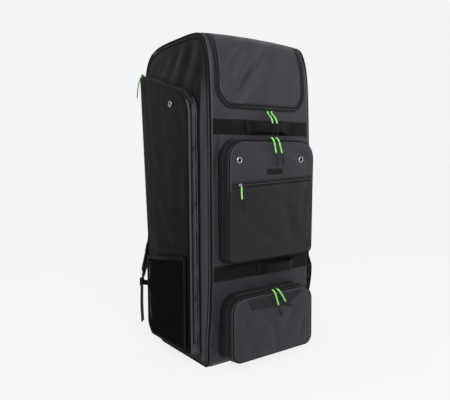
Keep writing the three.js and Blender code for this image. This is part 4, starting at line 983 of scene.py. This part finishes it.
class Pocket:
    """A pocket's form in its own plane: an outline, how far it stands out, and its soft folds."""

    def __init__(self, sizes, corners, place, folds=(), depth_at=None, seed=1):
        self.sizes, self.corners, self.place, self.folds, self.seed = sizes, corners, place, folds, seed
        self.depth_at = depth_at or (lambda a, b: np.full(np.shape(a), float(sizes["depth"])))

    def gusset_inset(self, out):
        depth, flare, rounding = (self.sizes[key] for key in ("depth", "flare", "round"))
        return flare * (out + 30) / (depth - rounding + 30)

    def outline(self, inset):
        return rounded_outline(self.corners, inset, POCKET_ARC_STEPS, POCKET_EDGE_STEPS)

    def face_outline(self):
        return self.outline(self.sizes["flare"] + self.sizes["round"])

    def sunk(self, a, b, reach):
        """How far folds and gentle waves press the face in, easing off towards its edge."""
        pressed = relief(self.folds, a, b) + 0.9 * ripple(a, b, 70, self.seed)
        return pressed * np.clip((1 - reach) * 9, 0, 1)

    def ring(self, inset, back, fullness=0.0):
        """A ring round the pocket at a distance back from its face, softly crumpled when it is full."""
        loop = self.outline(inset)
        way = closed_steps(loop)
        way = np.stack([way[:, 1], -way[:, 0]], axis=1)
        height = self.depth_at(loop[:, 0], loop[:, 1]) - back
        travel = lengths_along(loop)
        crumple = np.sin(travel / 9.0 + 1.2 * np.sin(travel / 31.0 + self.seed)) * 0.55
        crumple = crumple + np.sin(travel / 23.0 + self.seed * 2.0) * 0.5
        loop = loop + way * (fullness * (1.6 + crumple))[:, None]
        return self.place(loop[:, 0], loop[:, 1], height)

    def face_rings(self):
        loop = self.face_outline()
        middle = loop.mean(axis=0)
        rings = []
        for reach in 1 - np.linspace(0, 0.985, 44):
            a, b = (middle + (loop - middle) * reach).T
            crown = self.sizes["crown"] * (1 - reach ** 2)
            rings.append(self.place(a, b, self.depth_at(a, b) + crown - self.sunk(a, b, reach)))
        return rings

    def build(self, name, finish, gusset_finish, nodes, slot):
        depth, flare, rounding = (self.sizes[key] for key in ("depth", "flare", "round"))
        rings = []
        for out in np.linspace(-9, depth - rounding, GUSSET_RINGS):
            bow = max(0.0, math.sin(math.pi * np.clip((out + 2) / (depth - rounding + 2), 0, 1)))
            rings.append(self.ring(self.gusset_inset(out), depth - out, 0.9 * bow))
        for turn in np.linspace(0, math.pi / 2, 7)[1:-1]:
            rings.append(self.ring(flare + rounding * (1 - math.cos(turn)), rounding * (1 - math.sin(turn))))
        rings += self.face_rings()
        rings = np.array(rings)
        points, faces = closed_by_fans(rings)
        piece = put(name, points, faces, finish, nodes=nodes, slot=slot)
        piece.data.materials.append(gusset_finish)
        index = np.zeros(len(faces), int)
        index[:(GUSSET_RINGS - 1) * rings.shape[1]] = 1
        piece.data.polygons.foreach_set("material_index", index)
        return outward(piece)

    def gusset_line(self, out, lowest=None):
        """A line round the gusset at a distance out, opened below a height."""
        loop = self.outline(self.gusset_inset(out))
        way = closed_steps(loop)
        way = np.stack([way[:, 1], -way[:, 0]], axis=1)
        height = self.depth_at(loop[:, 0], loop[:, 1]) - (self.sizes["depth"] - out)
        points = self.place(loop[:, 0], loop[:, 1], height)
        beyond = self.place(loop[:, 0] + way[:, 0], loop[:, 1] + way[:, 1], height)
        ways = unit(beyond - points)
        if lowest is None:
            return points, ways
        keep = points[:, 2] >= lowest
        start = int(np.argmax(keep & ~np.roll(keep, 1)))
        order = (np.arange(len(loop)) + start) % len(loop)
        order = order[keep[order]]
        return points[order], ways[order]

    def on_face(self, a, b, lift=0.0):
        """Points on the face at outline coordinates."""
        loop = self.face_outline()
        middle = loop.mean(axis=0)
        angle = np.arctan2(loop[:, 1] - middle[1], loop[:, 0] - middle[0])
        span = np.linalg.norm(loop - middle, axis=1)
        order = np.argsort(angle)
        a, b = np.broadcast_arrays(np.asarray(a, float), np.asarray(b, float))
        way = np.arctan2(b - middle[1], a - middle[0])
        limit = np.interp(way, angle[order], span[order], period=2 * math.pi)
        reach = np.minimum(1.05, np.hypot(a - middle[0], b - middle[1]) / limit)
        crown = self.sizes["crown"] * (1 - np.minimum(reach, 1) ** 2)
        return self.place(a, b, self.depth_at(a, b) + crown - self.sunk(a, b, reach) + lift)

    def edge_cord(self, name, radius, finish):
        """The bound seam between the face and the gusset."""
        inset = self.sizes["flare"] + 0.22 * self.sizes["round"]
        path = self.ring(inset, 0.30 * self.sizes["round"])
        out = unit(path - path.mean(axis=0))
        return sweep(name, path, out, circle(radius, 10), finish, closed=True, slot="dark_cloth")

    def root_welt(self, name, finish):
        """The narrow flange where the pocket's gusset is sewn to the bag."""
        points, ways = self.gusset_line(7.0)
        return sweep(name, points, ways, tape_profile(3.6, 1.5), finish, closed=True, slot="dark_cloth")


def front_corners(sizes):
    left, right, bottom, top = (sizes[key] for key in ("left", "right", "bottom", "top"))
    radii = sizes["radii"]
    places = [(left, bottom), (right, bottom), (right, top), (left, top)]
    return [(a, b, radius) for (a, b), radius in zip(places, radii)]


def front_place(a, b, out):
    return np.stack(np.broadcast_arrays(a, -FRONT_PLANE - out, b), axis=-1)


def side_place(side):
    def place(a, b, out):
        return np.stack(np.broadcast_arrays(side * (half_width(b) + out), a, b), axis=-1)
    return place


MID_FOLDS = [(-60, 620, 25, 120, 14, 1.8), (90, 615, -20, 110, 14, 1.6), (-110, 470, 80, 120, 16, 2.0),
             (60, 420, 105, 150, 18, 2.4), (10, 360, 8, 220, 14, 1.8), (-40, 500, 60, 90, 9, 1.2),
             (120, 480, 82, 110, 10, 1.6), (-130, 360, 60, 90, 10, 1.8)]
LOW_FOLDS = [(-37, 143, 128, 80, 16, 5), (-88, 64, 135, 60, 15, 4.5), (54, 120, 60, 90, 20, 3.5),
             (0, 70, 100, 110, 12, 2.6), (105, 90, 70, 80, 10, 2.4), (30, 175, 20, 110, 9, 2.0),
             (-110, 130, 110, 70, 9, 2.2)]
SIDE_FOLDS = [(100, 845, 80, 90, 8, 2.0), (60, 815, 88, 100, 8, 2.0), (150, 835, 76, 100, 9, 2.4),
              (10, 780, 98, 80, 8, 1.4), (-70, 700, 74, 160, 16, 1.2), (40, 640, 82, 220, 24, 1.3),
              (110, 600, 84, 200, 18, 1.2), (-60, 520, 92, 200, 22, 1.1), (60, 420, 75, 160, 22, 1.1),
              (130, 720, 80, 130, 12, 1.2), (-20, 340, 12, 160, 14, 1.2)]


def mid_depth(a, b):
    return MID["depth"] * (0.86 + 0.14 * (np.asarray(b) - MID["bottom"]) / (MID["top"] - MID["bottom"]))


side_corners = [(y * HALF_DEPTH, BASE_TOP + z * BODY_HEIGHT, radius) for y, z, radius in SIDE_POCKET_CORNERS]
mid_pocket = Pocket(MID, front_corners(MID), front_place, MID_FOLDS, mid_depth, 11)
low_pocket = Pocket(LOW, front_corners(LOW), front_place, LOW_FOLDS, None, 12)
side_pockets = {"left": Pocket(SIDE, side_corners, side_place(-1), SIDE_FOLDS, None, 13),
                "right": Pocket(SIDE, side_corners, side_place(1), SIDE_FOLDS, None, 14)}


def add_front_pocket(pocket, name, node, finish, zip_out, lowest, zip_node):
    pocket.build(name, finish, front_gusset_cloth, [node], "coated_cloth")
    pocket.edge_cord(f"{name}_seam", 1.5, dark_cloth)
    pocket.root_welt(f"{name}_root_welt", dark_cloth)
    path, out = pocket.gusset_line((zip_out[0] + zip_out[1]) / 2, lowest)
    add_zip(f"{name}_zip", path, out, zip_out[1] - zip_out[0], [zip_node], 1.7)


def sewn_on(pocket, name, spot, edge, lift, finish, node, uv=None):
    """A thin piece on a pocket's face. edge says how far in from its rim each spot lies, full at 1."""
    outer = pocket.on_face(spot[:, :, 0], spot[:, :, 1], 0.2 + lift * np.clip(edge, 0, 1) ** 0.5)
    inner = pocket.on_face(spot[:, :, 0], spot[:, :, 1], -1.2)
    slab(name, outer, inner, finish, uv=uv, nodes=[node], slot="dark_cloth")


def face_strip(pocket, name, low_line, high_line, finish, node, lift, steps=80, rows=9):
    """A strip sewn on a pocket's face between two slanted lines of (a, b) ends."""
    low_line, high_line = np.array(low_line, float), np.array(high_line, float)
    share = np.linspace(0, 1, steps)[None, :, None]
    up = np.linspace(0, 1, rows)[:, None, None]
    low = low_line[0] + (low_line[1] - low_line[0]) * share
    high = high_line[0] + (high_line[1] - high_line[0]) * share
    spot = low + (high - low) * up
    edge = np.minimum(np.minimum(up, 1 - up) * (rows - 1), np.minimum(share, 1 - share) * 40)[:, :, 0]
    sewn_on(pocket, name, spot, edge, lift, finish, node, spot * MM)


def add_mid_pocket():
    add_front_pocket(mid_pocket, "mid_pocket_cloth", "mid_pocket", pocket_cloth, (16, 36), 322, "mid_zip")
    left, right = MID["left"] + 14, MID["right"] - 14
    low, high = [(left, 517.1), (right, 533.1)], [(left, 541.0), (right, 553.1)]
    face_strip(mid_pocket, "slanted_zip_flange", low, high, patch_cloth, "front_zip_band", 1.3)
    x = np.linspace(left + 3, right - 3, 80)
    share = (x - left) / (right - left)
    centre = 529.0 + (543.0 - 529.0) * share
    path = mid_pocket.on_face(x, centre, 1.5)
    out = (0, -1, 0)
    sweep("slanted_zip", path, out, zip_profile(11.0, 1.1, 0.8), zip_tape, slot="zip_tape")
    tooth_lines.append(beside(path, out, 0.0, 0.8))
    for level in (518.5, 539.5):
        line = level + (15.0 + (level - 518.5) * -0.15) * share
        stitch_lines.append(mid_pocket.on_face(x, line, 1.9))
    middle = (MID["left"] + MID["right"]) / 2
    z = MID["bottom"] + 0.733 * (MID["top"] - MID["bottom"])
    low = [(middle - 30.5, z - 8.5), (middle + 30.5, z - 8.5)]
    high = [(middle - 30.5, z + 8.5), (middle + 30.5, z + 8.5)]
    face_strip(mid_pocket, "label_bare", low, high, label_finish, "label_patch", 0.9, steps=30)
    box = [(middle - 29, z - 7), (middle + 29, z - 7), (middle + 29, z + 7), (middle - 29, z + 7),
           (middle - 29, z - 7)]
    stitch_lines.append(np.vstack([mid_pocket.on_face(*np.linspace(a, b, 12).T, 1.2)
                                   for a, b in zip(box[:-1], box[1:])]))


def add_low_pocket():
    add_front_pocket(low_pocket, "bottom_pocket_cloth", "bottom_pocket", cloth, (18, 38), 50, "bottom_zip")
    width, height = (LOW["right"] - LOW["left"]) / 2, LOW["top"] - LOW["bottom"]
    middle = (LOW["left"] + LOW["right"]) / 2
    shares = [(-.571, .764), (.287, .734), (.666, .884), (.716, .925), (-.647, .925)]
    corners = [(middle + a * width, LOW["bottom"] + b * height) for a, b in shares]
    share = np.linspace(0, 1, 61)
    lower = np.vstack([np.linspace(corners[0], corners[1], 41), np.linspace(corners[1], corners[2], 21)[1:]])
    upper = corners[4] + (np.array(corners[3]) - np.array(corners[4])) * share[:, None]
    up = np.linspace(0, 1, 11)[:, None, None]
    spot = lower[None] + (upper - lower)[None] * up
    edge = np.minimum(np.minimum(up, 1 - up) * 10, np.minimum(share, 1 - share)[None, :, None] * 30)[:, :, 0]
    sewn_on(low_pocket, "bottom_patch_bare", spot, edge, 1.5, patch_cloth, "bottom_patch")
    stitch_lines.append(low_pocket.on_face(lower[2:-2, 0], lower[2:-2, 1] + 3, 2.0))


def add_side_pocket(name):
    pocket = side_pockets[name]
    pocket.build(f"side_pocket_cloth_{name}", side_pocket_cloth, gusset_cloth, [f"side_pocket_{name}"],
                 "coated_cloth")
    pocket.edge_cord(f"side_pocket_seam_{name}", 1.4, dark_cloth)
    pocket.root_welt(f"side_pocket_root_welt_{name}", dark_cloth)
    path, out = pocket.gusset_line(15.0, 60)
    add_zip(f"side_pocket_zip_{name}", path, out, 14, [f"side_zip_{name}"], 1.6)


NET_COLUMNS, NET_ROWS, NET_CORD_RADIUS = 44, 52, 0.95


# The net: crossed cords on the swelling sheet of the pocket.
def net_point(side, swelling, u, v):
    u, v = np.broadcast_arrays(np.asarray(u, float), np.asarray(v, float))
    u = u - swelling["gather"] * np.sin(2 * math.pi * u) / (2 * math.pi)
    mouth = NET_POCKET["mouth_front"] + (NET_POCKET["mouth_back"] - NET_POCKET["mouth_front"]) * u
    swell = (np.sin(math.pi * np.clip(u, 0, 1)) ** swelling["edge_power"]
             * np.sin(math.pi / 2 * np.minimum(1, 1.5 * np.clip(v, 0, 1))) ** 0.8)
    full = swelling["fullness"] * np.where(v > 0.7, 1 - 0.55 * (v - 0.7) / 0.3, 1)
    out = np.maximum(SIDE["depth"] - 4 + (SIDE["crown"] + 6 + full) * swell, SIDE["depth"] + 4.6)
    z = NET_POCKET["bottom"] + (mouth - NET_POCKET["bottom"]) * v
    back = swelling["back"] - 24 * np.clip(1 - v / 0.16, 0, 1) ** 2
    y = swelling["front"] + (back - swelling["front"]) * u
    return np.stack([side * (half_width(z) + out), y, z], axis=-1)


def net_tree():
    """A tree that gives every edge of a lattice the thickness of a cord."""
    group = bpy.data.node_groups.new("net cords", "GeometryNodeTree")
    face = group.interface
    face.new_socket("Geometry", in_out="INPUT", socket_type="NodeSocketGeometry")
    face.new_socket("Cord Radius", in_out="INPUT", socket_type="NodeSocketFloat")
    face.new_socket("Geometry", in_out="OUTPUT", socket_type="NodeSocketGeometry")
    nodes, links = group.nodes, group.links
    inlet, outlet = nodes.new("NodeGroupInput"), nodes.new("NodeGroupOutput")
    curve, ring = nodes.new("GeometryNodeMeshToCurve"), nodes.new("GeometryNodeCurvePrimitiveCircle")
    ring.inputs["Resolution"].default_value = 4
    links.new(inlet.outputs["Geometry"], curve.inputs[0])
    links.new(inlet.outputs["Cord Radius"], ring.inputs["Radius"])
    tube = nodes.new("GeometryNodeCurveToMesh")
    links.new(curve.outputs[0], tube.inputs["Curve"])
    links.new(ring.outputs[0], tube.inputs["Profile Curve"])
    solid, paint = nodes.new("GeometryNodeRealizeInstances"), nodes.new("GeometryNodeSetMaterial")
    paint.inputs["Material"].default_value = net_cord
    links.new(tube.outputs[0], solid.inputs[0])
    links.new(solid.outputs[0], paint.inputs["Geometry"])
    links.new(paint.outputs[0], outlet.inputs[0])
    return group


def add_net(name, side):
    swelling = NET_SWELL[name]
    columns, rows = NET_COLUMNS, NET_ROWS
    lines = []
    for start in range(-rows, columns + 1):
        for slant in (1, -1):
            steps = np.arange(rows + 1)
            u = (start + steps) / columns if slant > 0 else (start + rows - steps) / columns
            v = steps / rows
            keep = (u >= 0) & (u <= 1)
            if keep.sum() > 1:
                lines.append(net_point(side, swelling, u[keep], v[keep]))
    grown(f"net_{name}", lines, net_tree(), {"Cord Radius": NET_CORD_RADIUS}, [f"mesh_pocket_{name}"])
    spread = np.linspace(0, 1, 50)
    mouth = net_point(side, swelling, spread, 1.0)
    sweep(f"net_hem_{name}", mouth, (side, 0, 0.2), tape_profile(13, 1.6, 1.4), dark_cloth,
          slot="dark_cloth")
    u = np.concatenate([np.zeros(40), spread[1:-1], np.ones(40)])
    v = np.concatenate([np.linspace(1, 0, 40), np.zeros(48), np.linspace(0, 1, 40)])
    border = net_point(side, swelling, u, v)
    sweep(f"net_binding_{name}", border, (side, 0, 0), tape_profile(10, 1.5, 1.4), dark_cloth,
          slot="dark_cloth")


def lathe(name, centre, axis, profile, finish, sides=36, **options):
    """Turns a closed profile of (radius, height) about an axis."""
    axis = Vector(axis).normalized()
    across = axis.orthogonal().normalized()
    other = axis.cross(across)
    rings = []
    for step in range(sides):
        angle = 2 * math.pi * step / sides
        way = across * math.cos(angle) + other * math.sin(angle)
        rings.append([np.array(centre) + np.array(way) * r + np.array(axis) * h for r, h in profile])
    rings = np.array(rings)
    faces = grid_faces(*rings.shape[:2], wrap=True) + last_to_first(*rings.shape[:2])
    return outward(put(name, rings, faces, finish, **options))


EYELET_SPREAD = 1.2
EYELET_RING = [(4.4, -1.0), (4.3, 0.5), (4.6, 1.5), (5.4, 2.1), (6.4, 2.0), (7.4, 1.2), (7.9, 0.5),
               (8.0, -0.3), (7.6, -0.8)]


def add_eyelet(name, centre, axis):
    ring = [(EYELET_SPREAD * radius, height) for radius, height in EYELET_RING]
    lathe(f"{name}_ring", centre, axis, ring, bright_metal, nodes=[name], slot="eyelet_metal")
    # Painted shade: a dark disc fills the eyelet's hole, standing in for the shade inside it.
    hole = 4.5 * EYELET_SPREAD
    disc = [(0.05, 0.1), (hole, 0.1), (hole, -0.8), (0.05, -0.8)]
    lathe(f"{name}_hole_shade_disc", centre, axis, disc, dark_cloth, slot="dark_cloth")


def add_eyelets():
    for name, a in (("eyelet_mid_left", MID["left"] + 39), ("eyelet_mid_right", MID["right"] - 61)):
        spot = mid_pocket.on_face(a, MID["top"] - 61.5, 0.9)
        add_eyelet(name, spot, (0, -1, 0))
    for name, side in (("left", -1), ("right", 1)):
        spot = side_pockets[name].on_face(-0.055 * HALF_DEPTH, BASE_TOP + 0.797 * BODY_HEIGHT, 0.9)
        add_eyelet(f"eyelet_side_{name}", spot, (side, 0, 0))


def rounded_block(centre, size, turn=None, bevel=1.0):
    """Points and faces of a block with softened edges."""
    half = np.array(size, float) / 2
    loop = []
    for z, inset in ((-half[2], bevel), (-half[2] + bevel, 0), (half[2] - bevel, 0), (half[2], bevel)):
        a, b = half[0] - inset, half[1] - inset
        corners = [(-a, -b, bevel), (a, -b, bevel), (a, b, bevel), (-a, b, bevel)]
        ring = rounded_outline(corners, 0, 3, 1)
        loop.append(np.column_stack([ring, np.full(len(ring), z)]))
    rings = np.array(loop)
    if turn is not None:
        rings = rings @ np.array(turn).T
    rings = rings + np.array(centre, float)
    faces = grid_faces(*rings.shape[:2], wrap=True) + end_caps(*rings.shape[:2])
    return rings.reshape(-1, 3), faces


def join_shapes(shapes):
    points, faces = [], []
    for some, some_faces in shapes:
        start = sum(len(p) for p in points)
        points.append(some)
        faces += [tuple(start + v for v in face) for face in some_faces]
    return np.vstack(points), faces


def slider(centre, along, out):
    """A zip slider: body, raised bridge and the pull's ring."""
    along, out = unit(np.array(along, float)), unit(np.array(out, float))
    across = np.cross(along, out)
    turn = np.column_stack([across, along, out])
    centre = np.array(centre, float)
    body = rounded_block(centre, (7.2, 10.5, 2.6), turn, 0.9)
    bridge = rounded_block(centre + out * 2.1, (2.4, 8.0, 1.8), turn, 0.6)
    nose = rounded_block(centre + along * 4.2, (5.0, 3.2, 3.2), turn, 0.8)
    return join_shapes([body, bridge, nose])


def put_slider(name, shape, finish):
    put(f"{name}_cast", *shape, finish, nodes=[name], slot="slider_metal", flat_angle=45)


def add_sliders():
    """A pair of sliders back to back on three of the zips, and a single one on the others."""
    apart = np.array([7.2, 0, 0])
    for name, out, y, z in (("flap", (0, -1, 0), 0.0, -1.5), ("mid", (0, 0, 1), 14.5, 1.4),
                            ("bottom", (0, 0, 1), 14.5, 1.4)):
        base = np.array(SLIDER_SEATS[name]) + np.array([0, y, z])
        pair = [slider(base - apart, (1, 0, 0), out), slider(base + apart, (-1, 0, 0), out)]
        put_slider(f"sliders_{name}", join_shapes(pair), dark_metal)
    seat = np.array(SLIDER_SEATS["front"]) + np.array([0, -1.0, -4])
    put_slider("slider_front", slider(seat, (0.99, 0, 0.05), (0, -1, 0)), bright_metal)
    for name in ("side_left", "side_right"):
        seat = np.array(SLIDER_SEATS[name]) + np.array([0, 2.0, 0])
        put_slider(f"slider_{name}", slider(seat, (0, 0.3, 0.95), (0, 0.95, -0.3)), dark_metal)


# The harness on the back: a padded panel, two padded straps with their wings, locks and webbing ends.
PAD_CORNER, PAD_LIFT = 50.0, 11
PAD_GROOVE_X, PAD_GROOVE_LEVELS, PAD_GROOVE_WIDTH = 38, (310, 420, 530, 640), 4.5
SHOULDER_STRAP = [(-.323, 1.412, .782, 60, 8), (-.365, 1.515, .717, 62, 11), (-.479, 1.515, .612, 62, 11),
                  (-.646, 1.430, .498, 60, 11), (-.818, 1.327, .393, 52, 9), (-.990, 1.291, .299, 38, 6),
                  (-1.104, 1.345, .209, 28, 4)]
LOCK_PLACE = np.array([-1.109 * BODY_WIDTH / 2, 1.352 * HALF_DEPTH, BASE_TOP + 0.195 * BODY_HEIGHT])
LOCK_TURN = 44
STRAP_STATIONS = 64
WEBBING_END_WIDTH, WEBBING_END_TOP, WEBBING_END_BOTTOM = 25, 13, -141.5


def back_y(z):
    """How far back the bag's back stands at a height."""
    back = OUTLINE[TOP_INDEX:OPEN_COUNT]
    order = np.argsort(back[:, 1])
    return np.interp(z, back[order, 1], back[order, 0])


def plump(piece, cell, cap, pressure, frames=20):
    """Swells a padded piece with cloth pressure, caps how far it moves, and keeps the result."""
    remesh = piece.modifiers.new("cells", "REMESH")
    remesh.mode = "VOXEL"
    remesh.voxel_size = cell
    bake(piece)
    before = vertex_array(piece.data)
    cloth_modifier = piece.modifiers.new("swell", "CLOTH")
    cloth_modifier.settings.use_pressure = True
    cloth_modifier.settings.uniform_pressure_force = pressure
    cloth_modifier.settings.effector_weights.gravity = 0
    cloth_modifier.settings.quality = 4
    cloth_modifier.settings.tension_stiffness = 20
    cloth_modifier.settings.bending_stiffness = 0.6
    scene = bpy.context.scene
    for number in range(1, frames + 1):
        scene.frame_set(number)
    bake(piece)
    scene.frame_set(1)
    after = vertex_array(piece.data)
    move = after - before
    size = np.linalg.norm(move, axis=1, keepdims=True)
    after = before + move * np.minimum(1, cap / np.maximum(size, 1e-9))
    piece.data.vertices.foreach_set("co", after.ravel())
    piece.data.polygons.foreach_set("use_smooth", [True] * len(piece.data.polygons))
    piece.data.update()


def vertex_array(mesh):
    place = np.empty(len(mesh.vertices) * 3)
    mesh.vertices.foreach_get("co", place)
    return place.reshape(-1, 3)


def bake(piece):
    """Keeps what a piece's modifiers make and takes them off."""
    graph = bpy.context.evaluated_depsgraph_get()
    made = bpy.data.meshes.new_from_object(piece.evaluated_get(graph))
    piece.modifiers.clear()
    piece.data = made


def add_back_pad():
    half = BODY_WIDTH / 2 - 64
    bottom, top = BASE_TOP + 0.195 * BODY_HEIGHT, BASE_TOP + 0.80 * BODY_HEIGHT
    corners = [(-half, bottom, PAD_CORNER), (half, bottom, PAD_CORNER), (half, top, PAD_CORNER),
               (-half, top, PAD_CORNER)]
    rings = []

    def on_back(loop, out):
        crown = FRONT_CROWN * (1 - (loop[:, 0] / (BODY_WIDTH / 2)) ** 2)
        return np.column_stack([loop[:, 0], back_y(loop[:, 1]) + out + crown, loop[:, 1]])

    for inset, out in ((0, -3), (0, 2), (1.5, 7), (5, 10.2), (12, PAD_LIFT)):
        rings.append(on_back(rounded_outline(corners, inset, 8, 16), out))
    middle = np.array([0, (bottom + top) / 2])
    base = rounded_outline(corners, 12, 8, 16)
    for reach in np.linspace(0.95, 0.03, 26):
        loop = middle + (base - middle) * reach
        groove = 5.5 * np.exp(-((np.abs(loop[:, 0]) - PAD_GROOVE_X) / PAD_GROOVE_WIDTH) ** 2)
        for level in PAD_GROOVE_LEVELS:
            groove = np.maximum(groove, 5.0 * np.exp(-((loop[:, 1] - level) / PAD_GROOVE_WIDTH) ** 2))
        rings.append(on_back(loop, PAD_LIFT - groove))
    points, faces = closed_by_fans(np.array(rings))
    piece = outward(put("back_padding", points, faces, air_mesh, nodes=["back_pad"], slot="padded_cloth"))
    plump(piece, 0.005, 0.006, 3.0)
    path = on_back(rounded_outline(corners, 1, 8, 16), 2.5)
    sweep("back_pad_binding", path, (0, 1, 0), tape_profile(7, 2.2, 2.0), webbing, closed=True,
          slot="webbing")


def strap_frames(side):
    rows = np.array(SHOULDER_STRAP, float)
    rows[-1, 2] = (LOCK_PLACE[2] + 13.3 - BASE_TOP) / BODY_HEIGHT
    smooth = catmull(rows, STRAP_STATIONS)
    centre = np.column_stack([-side * smooth[:, 0] * BODY_WIDTH / 2, smooth[:, 1] * HALF_DEPTH,
                              BASE_TOP + smooth[:, 2] * BODY_HEIGHT])
    lean = np.radians(22 * np.maximum(0, np.linspace(0, 6, STRAP_STATIONS) - 4))
    out = np.column_stack([side * np.sin(lean), np.cos(lean), np.zeros(STRAP_STATIONS)])
    return centre, out, smooth[:, 3], smooth[:, 4]


def add_harness(name, side):
    centre, out, width, thickness = strap_frames(side)
    turns = np.linspace(0, 2 * math.pi, 20, endpoint=False)
    shape = np.stack([np.sign(np.cos(turns)) * np.abs(np.cos(turns)) ** 0.45,
                      np.sign(np.sin(turns)) * np.abs(np.sin(turns)) ** 0.8], axis=1)
    profile = shape[None] * np.stack([width / 2 - 1, thickness / 2 - 0.6], axis=1)[:, None]
    piece = sweep(f"shoulder_padding_{name}", centre, out, profile, padded_cloth,
                  nodes=[f"shoulder_strap_{name}"], slot="padded_cloth")
    plump(piece, 0.004, 0.004, 2.5)
    webbing_run = centre + out * (thickness / 2 + 1.4)[:, None]
    run = slice(6, 60)
    sweep(f"strap_webbing_{name}", webbing_run[run], out[run], tape_profile(24, 1.6, 1.5), webbing,
          slot="webbing")
    for across in (-10.5, 10.5):
        stitch_lines.append(beside(webbing_run[run], out[run], across, 1.9))
    place = LOCK_PLACE * np.array([-side, 1, 1])
    add_lock(name, side, place)
    add_webbing_end(name, side, place)
    add_wing(name, side, place)


def lock_axes(side):
    """The ways across, up and out of a lock, which hangs turned to the bag's corner."""
    angle = side * math.radians(LOCK_TURN)
    across = np.array([math.cos(angle), -math.sin(angle), 0.0])
    up = np.array([0.0, 0.0, 1.0])
    return across, up, np.cross(across, up)


def add_lock(name, side, place):
    """A ladder lock: a frame with two slots and a bar that the webbing turns round."""
    across, up, out = lock_axes(side)
    turn = np.column_stack([across, up, out])
    parts = [(across * 14.8, (4.4, 26, 5)), (across * -14.8, (4.4, 26, 5)), (up * 11.2, (32, 3.6, 4.6)),
             (up * -11.2, (32, 3.6, 4.6)), (up * 0.0, (32, 4.4, 4.0))]
    shapes = [rounded_block(place + offset, size, turn, 1.1) for offset, size in parts]
    points, faces = join_shapes(shapes)
    put(f"lock_{name}", points, faces, base_plastic, nodes=[f"adjuster_{name}"], slot="base_plastic",
        flat_angle=50)


def add_webbing_end(name, side, place):
    out = lock_axes(side)[2]
    out = out * np.sign(out[1])
    z = np.linspace(WEBBING_END_TOP, WEBBING_END_BOTTOM, 40)
    sway = 2.2 * np.sin((WEBBING_END_TOP - z) / 60) ** 2
    route = place + out * sway[:, None] + np.column_stack([0 * z, 0 * z, z])
    piece = sweep(f"webbing_end_{name}", route, out, tape_profile(WEBBING_END_WIDTH, 0.9, 0.9), webbing,
                  nodes=[f"webbing_tail_{name}"], slot="webbing")
    tuple(float(v) for v in route[0] * MM)
    [tuple(float(v) for v in point * MM) for point in route]


WING_ROOT_WIDTH, WING_TIP_WIDTH = 62, 17


def add_wing(name, side, place):
    root = np.array([side * (BODY_WIDTH / 2 - 16), place[1] - 77, place[2] - 4])
    tip = np.array([place[0] - side * 1, place[1] - 4, place[2] - 4])
    share = np.linspace(0, 1, 24)
    path = root + (tip - root) * share[:, None]
    clear = side * (half_width(path[:, 2]) + SIDE["depth"] * np.clip(1 - (path[:, 1] - 128) / 40, 0, 0.25))
    path[:, 0] = np.where(side * path[:, 0] < side * clear, clear, path[:, 0])
    width = WING_ROOT_WIDTH + (WING_TIP_WIDTH - WING_ROOT_WIDTH) * np.clip(share * 1.25, 0, 1) ** 0.9
    profile = np.array([[(-w / 2, -1.4), (-w / 2, 1.0), (-w / 2 + 2, 1.6), (w / 2 - 2, 1.6), (w / 2, 1.0),
                         (w / 2, -1.4)] for w in width])
    sweep(f"wing_cloth_{name}", path, (side, -0.5, 0), profile, dark_cloth, nodes=[f"strap_wing_{name}"],
          slot="dark_cloth")


FLOOR_REACH = 60
LAMPS = [("key", (-0.8, -2.9, 1.7), 66, 0.9, (0, 0, 0.55)),
         ("top", (-1.1, -1.6, 2.8), 22, 1.2, (0, 0, 0.6)),
         ("left", (-2.6, -1.0, 2.0), 12, 1.0, (0, 0, 0.8)),
         ("right", (2.4, -1.4, 1.3), 8, 1.2, (0.1, 0, 0.5))]


def add_studio():
    floor = bpy.data.meshes.new("floor")
    far = FLOOR_REACH
    floor.from_pydata([(-far, -far, 0), (far, -far, 0), (far, far, 0), (-far, far, 0)], [], [(0, 1, 2, 3)])
    shade = Shade("pale floor")
    tone = shade.noise(3.0, 3.0)
    floor.materials.append(shade.finish(color=shade.blend(tone, tint(70, 70, 71), tint(73, 73, 74)),
                                        roughness=0.9, specular=0.0, glow=(1.0, 1.0, 1.0, 1.0),
                                        glow_strength=0.84))
    ground = bpy.data.objects.new("floor", floor)
    bpy.context.scene.collection.objects.link(ground)
    world = bpy.data.worlds.new("studio")
    world.use_nodes = True
    world.node_tree.nodes["Background"].inputs["Color"].default_value = (0.93, 0.935, 0.95, 1)
    world.node_tree.nodes["Background"].inputs["Strength"].default_value = 0.97
    bpy.context.scene.world = world
    for name, place, power, size, target in LAMPS:
        light = bpy.data.lights.new(name, "AREA")
        light.energy, light.size = power, size
        lamp = bpy.data.objects.new(name, light)
        lamp.location = place
        way = Vector(target) - Vector(place)
        lamp.rotation_euler = way.to_track_quat("-Z", "Y").to_euler()
        bpy.context.scene.collection.objects.link(lamp)
    bpy.context.scene.view_settings.view_transform = "Standard"


add_studio()
add_body()
add_flap()
add_flap_zip()
add_piping("left", -1)
add_piping("right", 1)
add_base()
add_strap("upper_strap", UPPER_STRAP_Z)
add_strap("lower_strap", LOWER_STRAP_Z)
add_handle("upper_handle", -71, 92, 14, UPPER_STRAP_Z)
add_handle("lower_handle", -32, 116, 20, LOWER_STRAP_Z)
add_mid_pocket()
add_low_pocket()
for pocket_name in ("left", "right"):
    add_side_pocket(pocket_name)
add_net("left", -1)
add_net("right", 1)
add_eyelets()
add_sliders()
add_back_pad()
add_harness("left", -1)
add_harness("right", 1)
grown("sewn_stitches", stitch_lines, stitch_tree, STITCH)
grown("zip_coils", tooth_lines, tooth_tree, TOOTH)
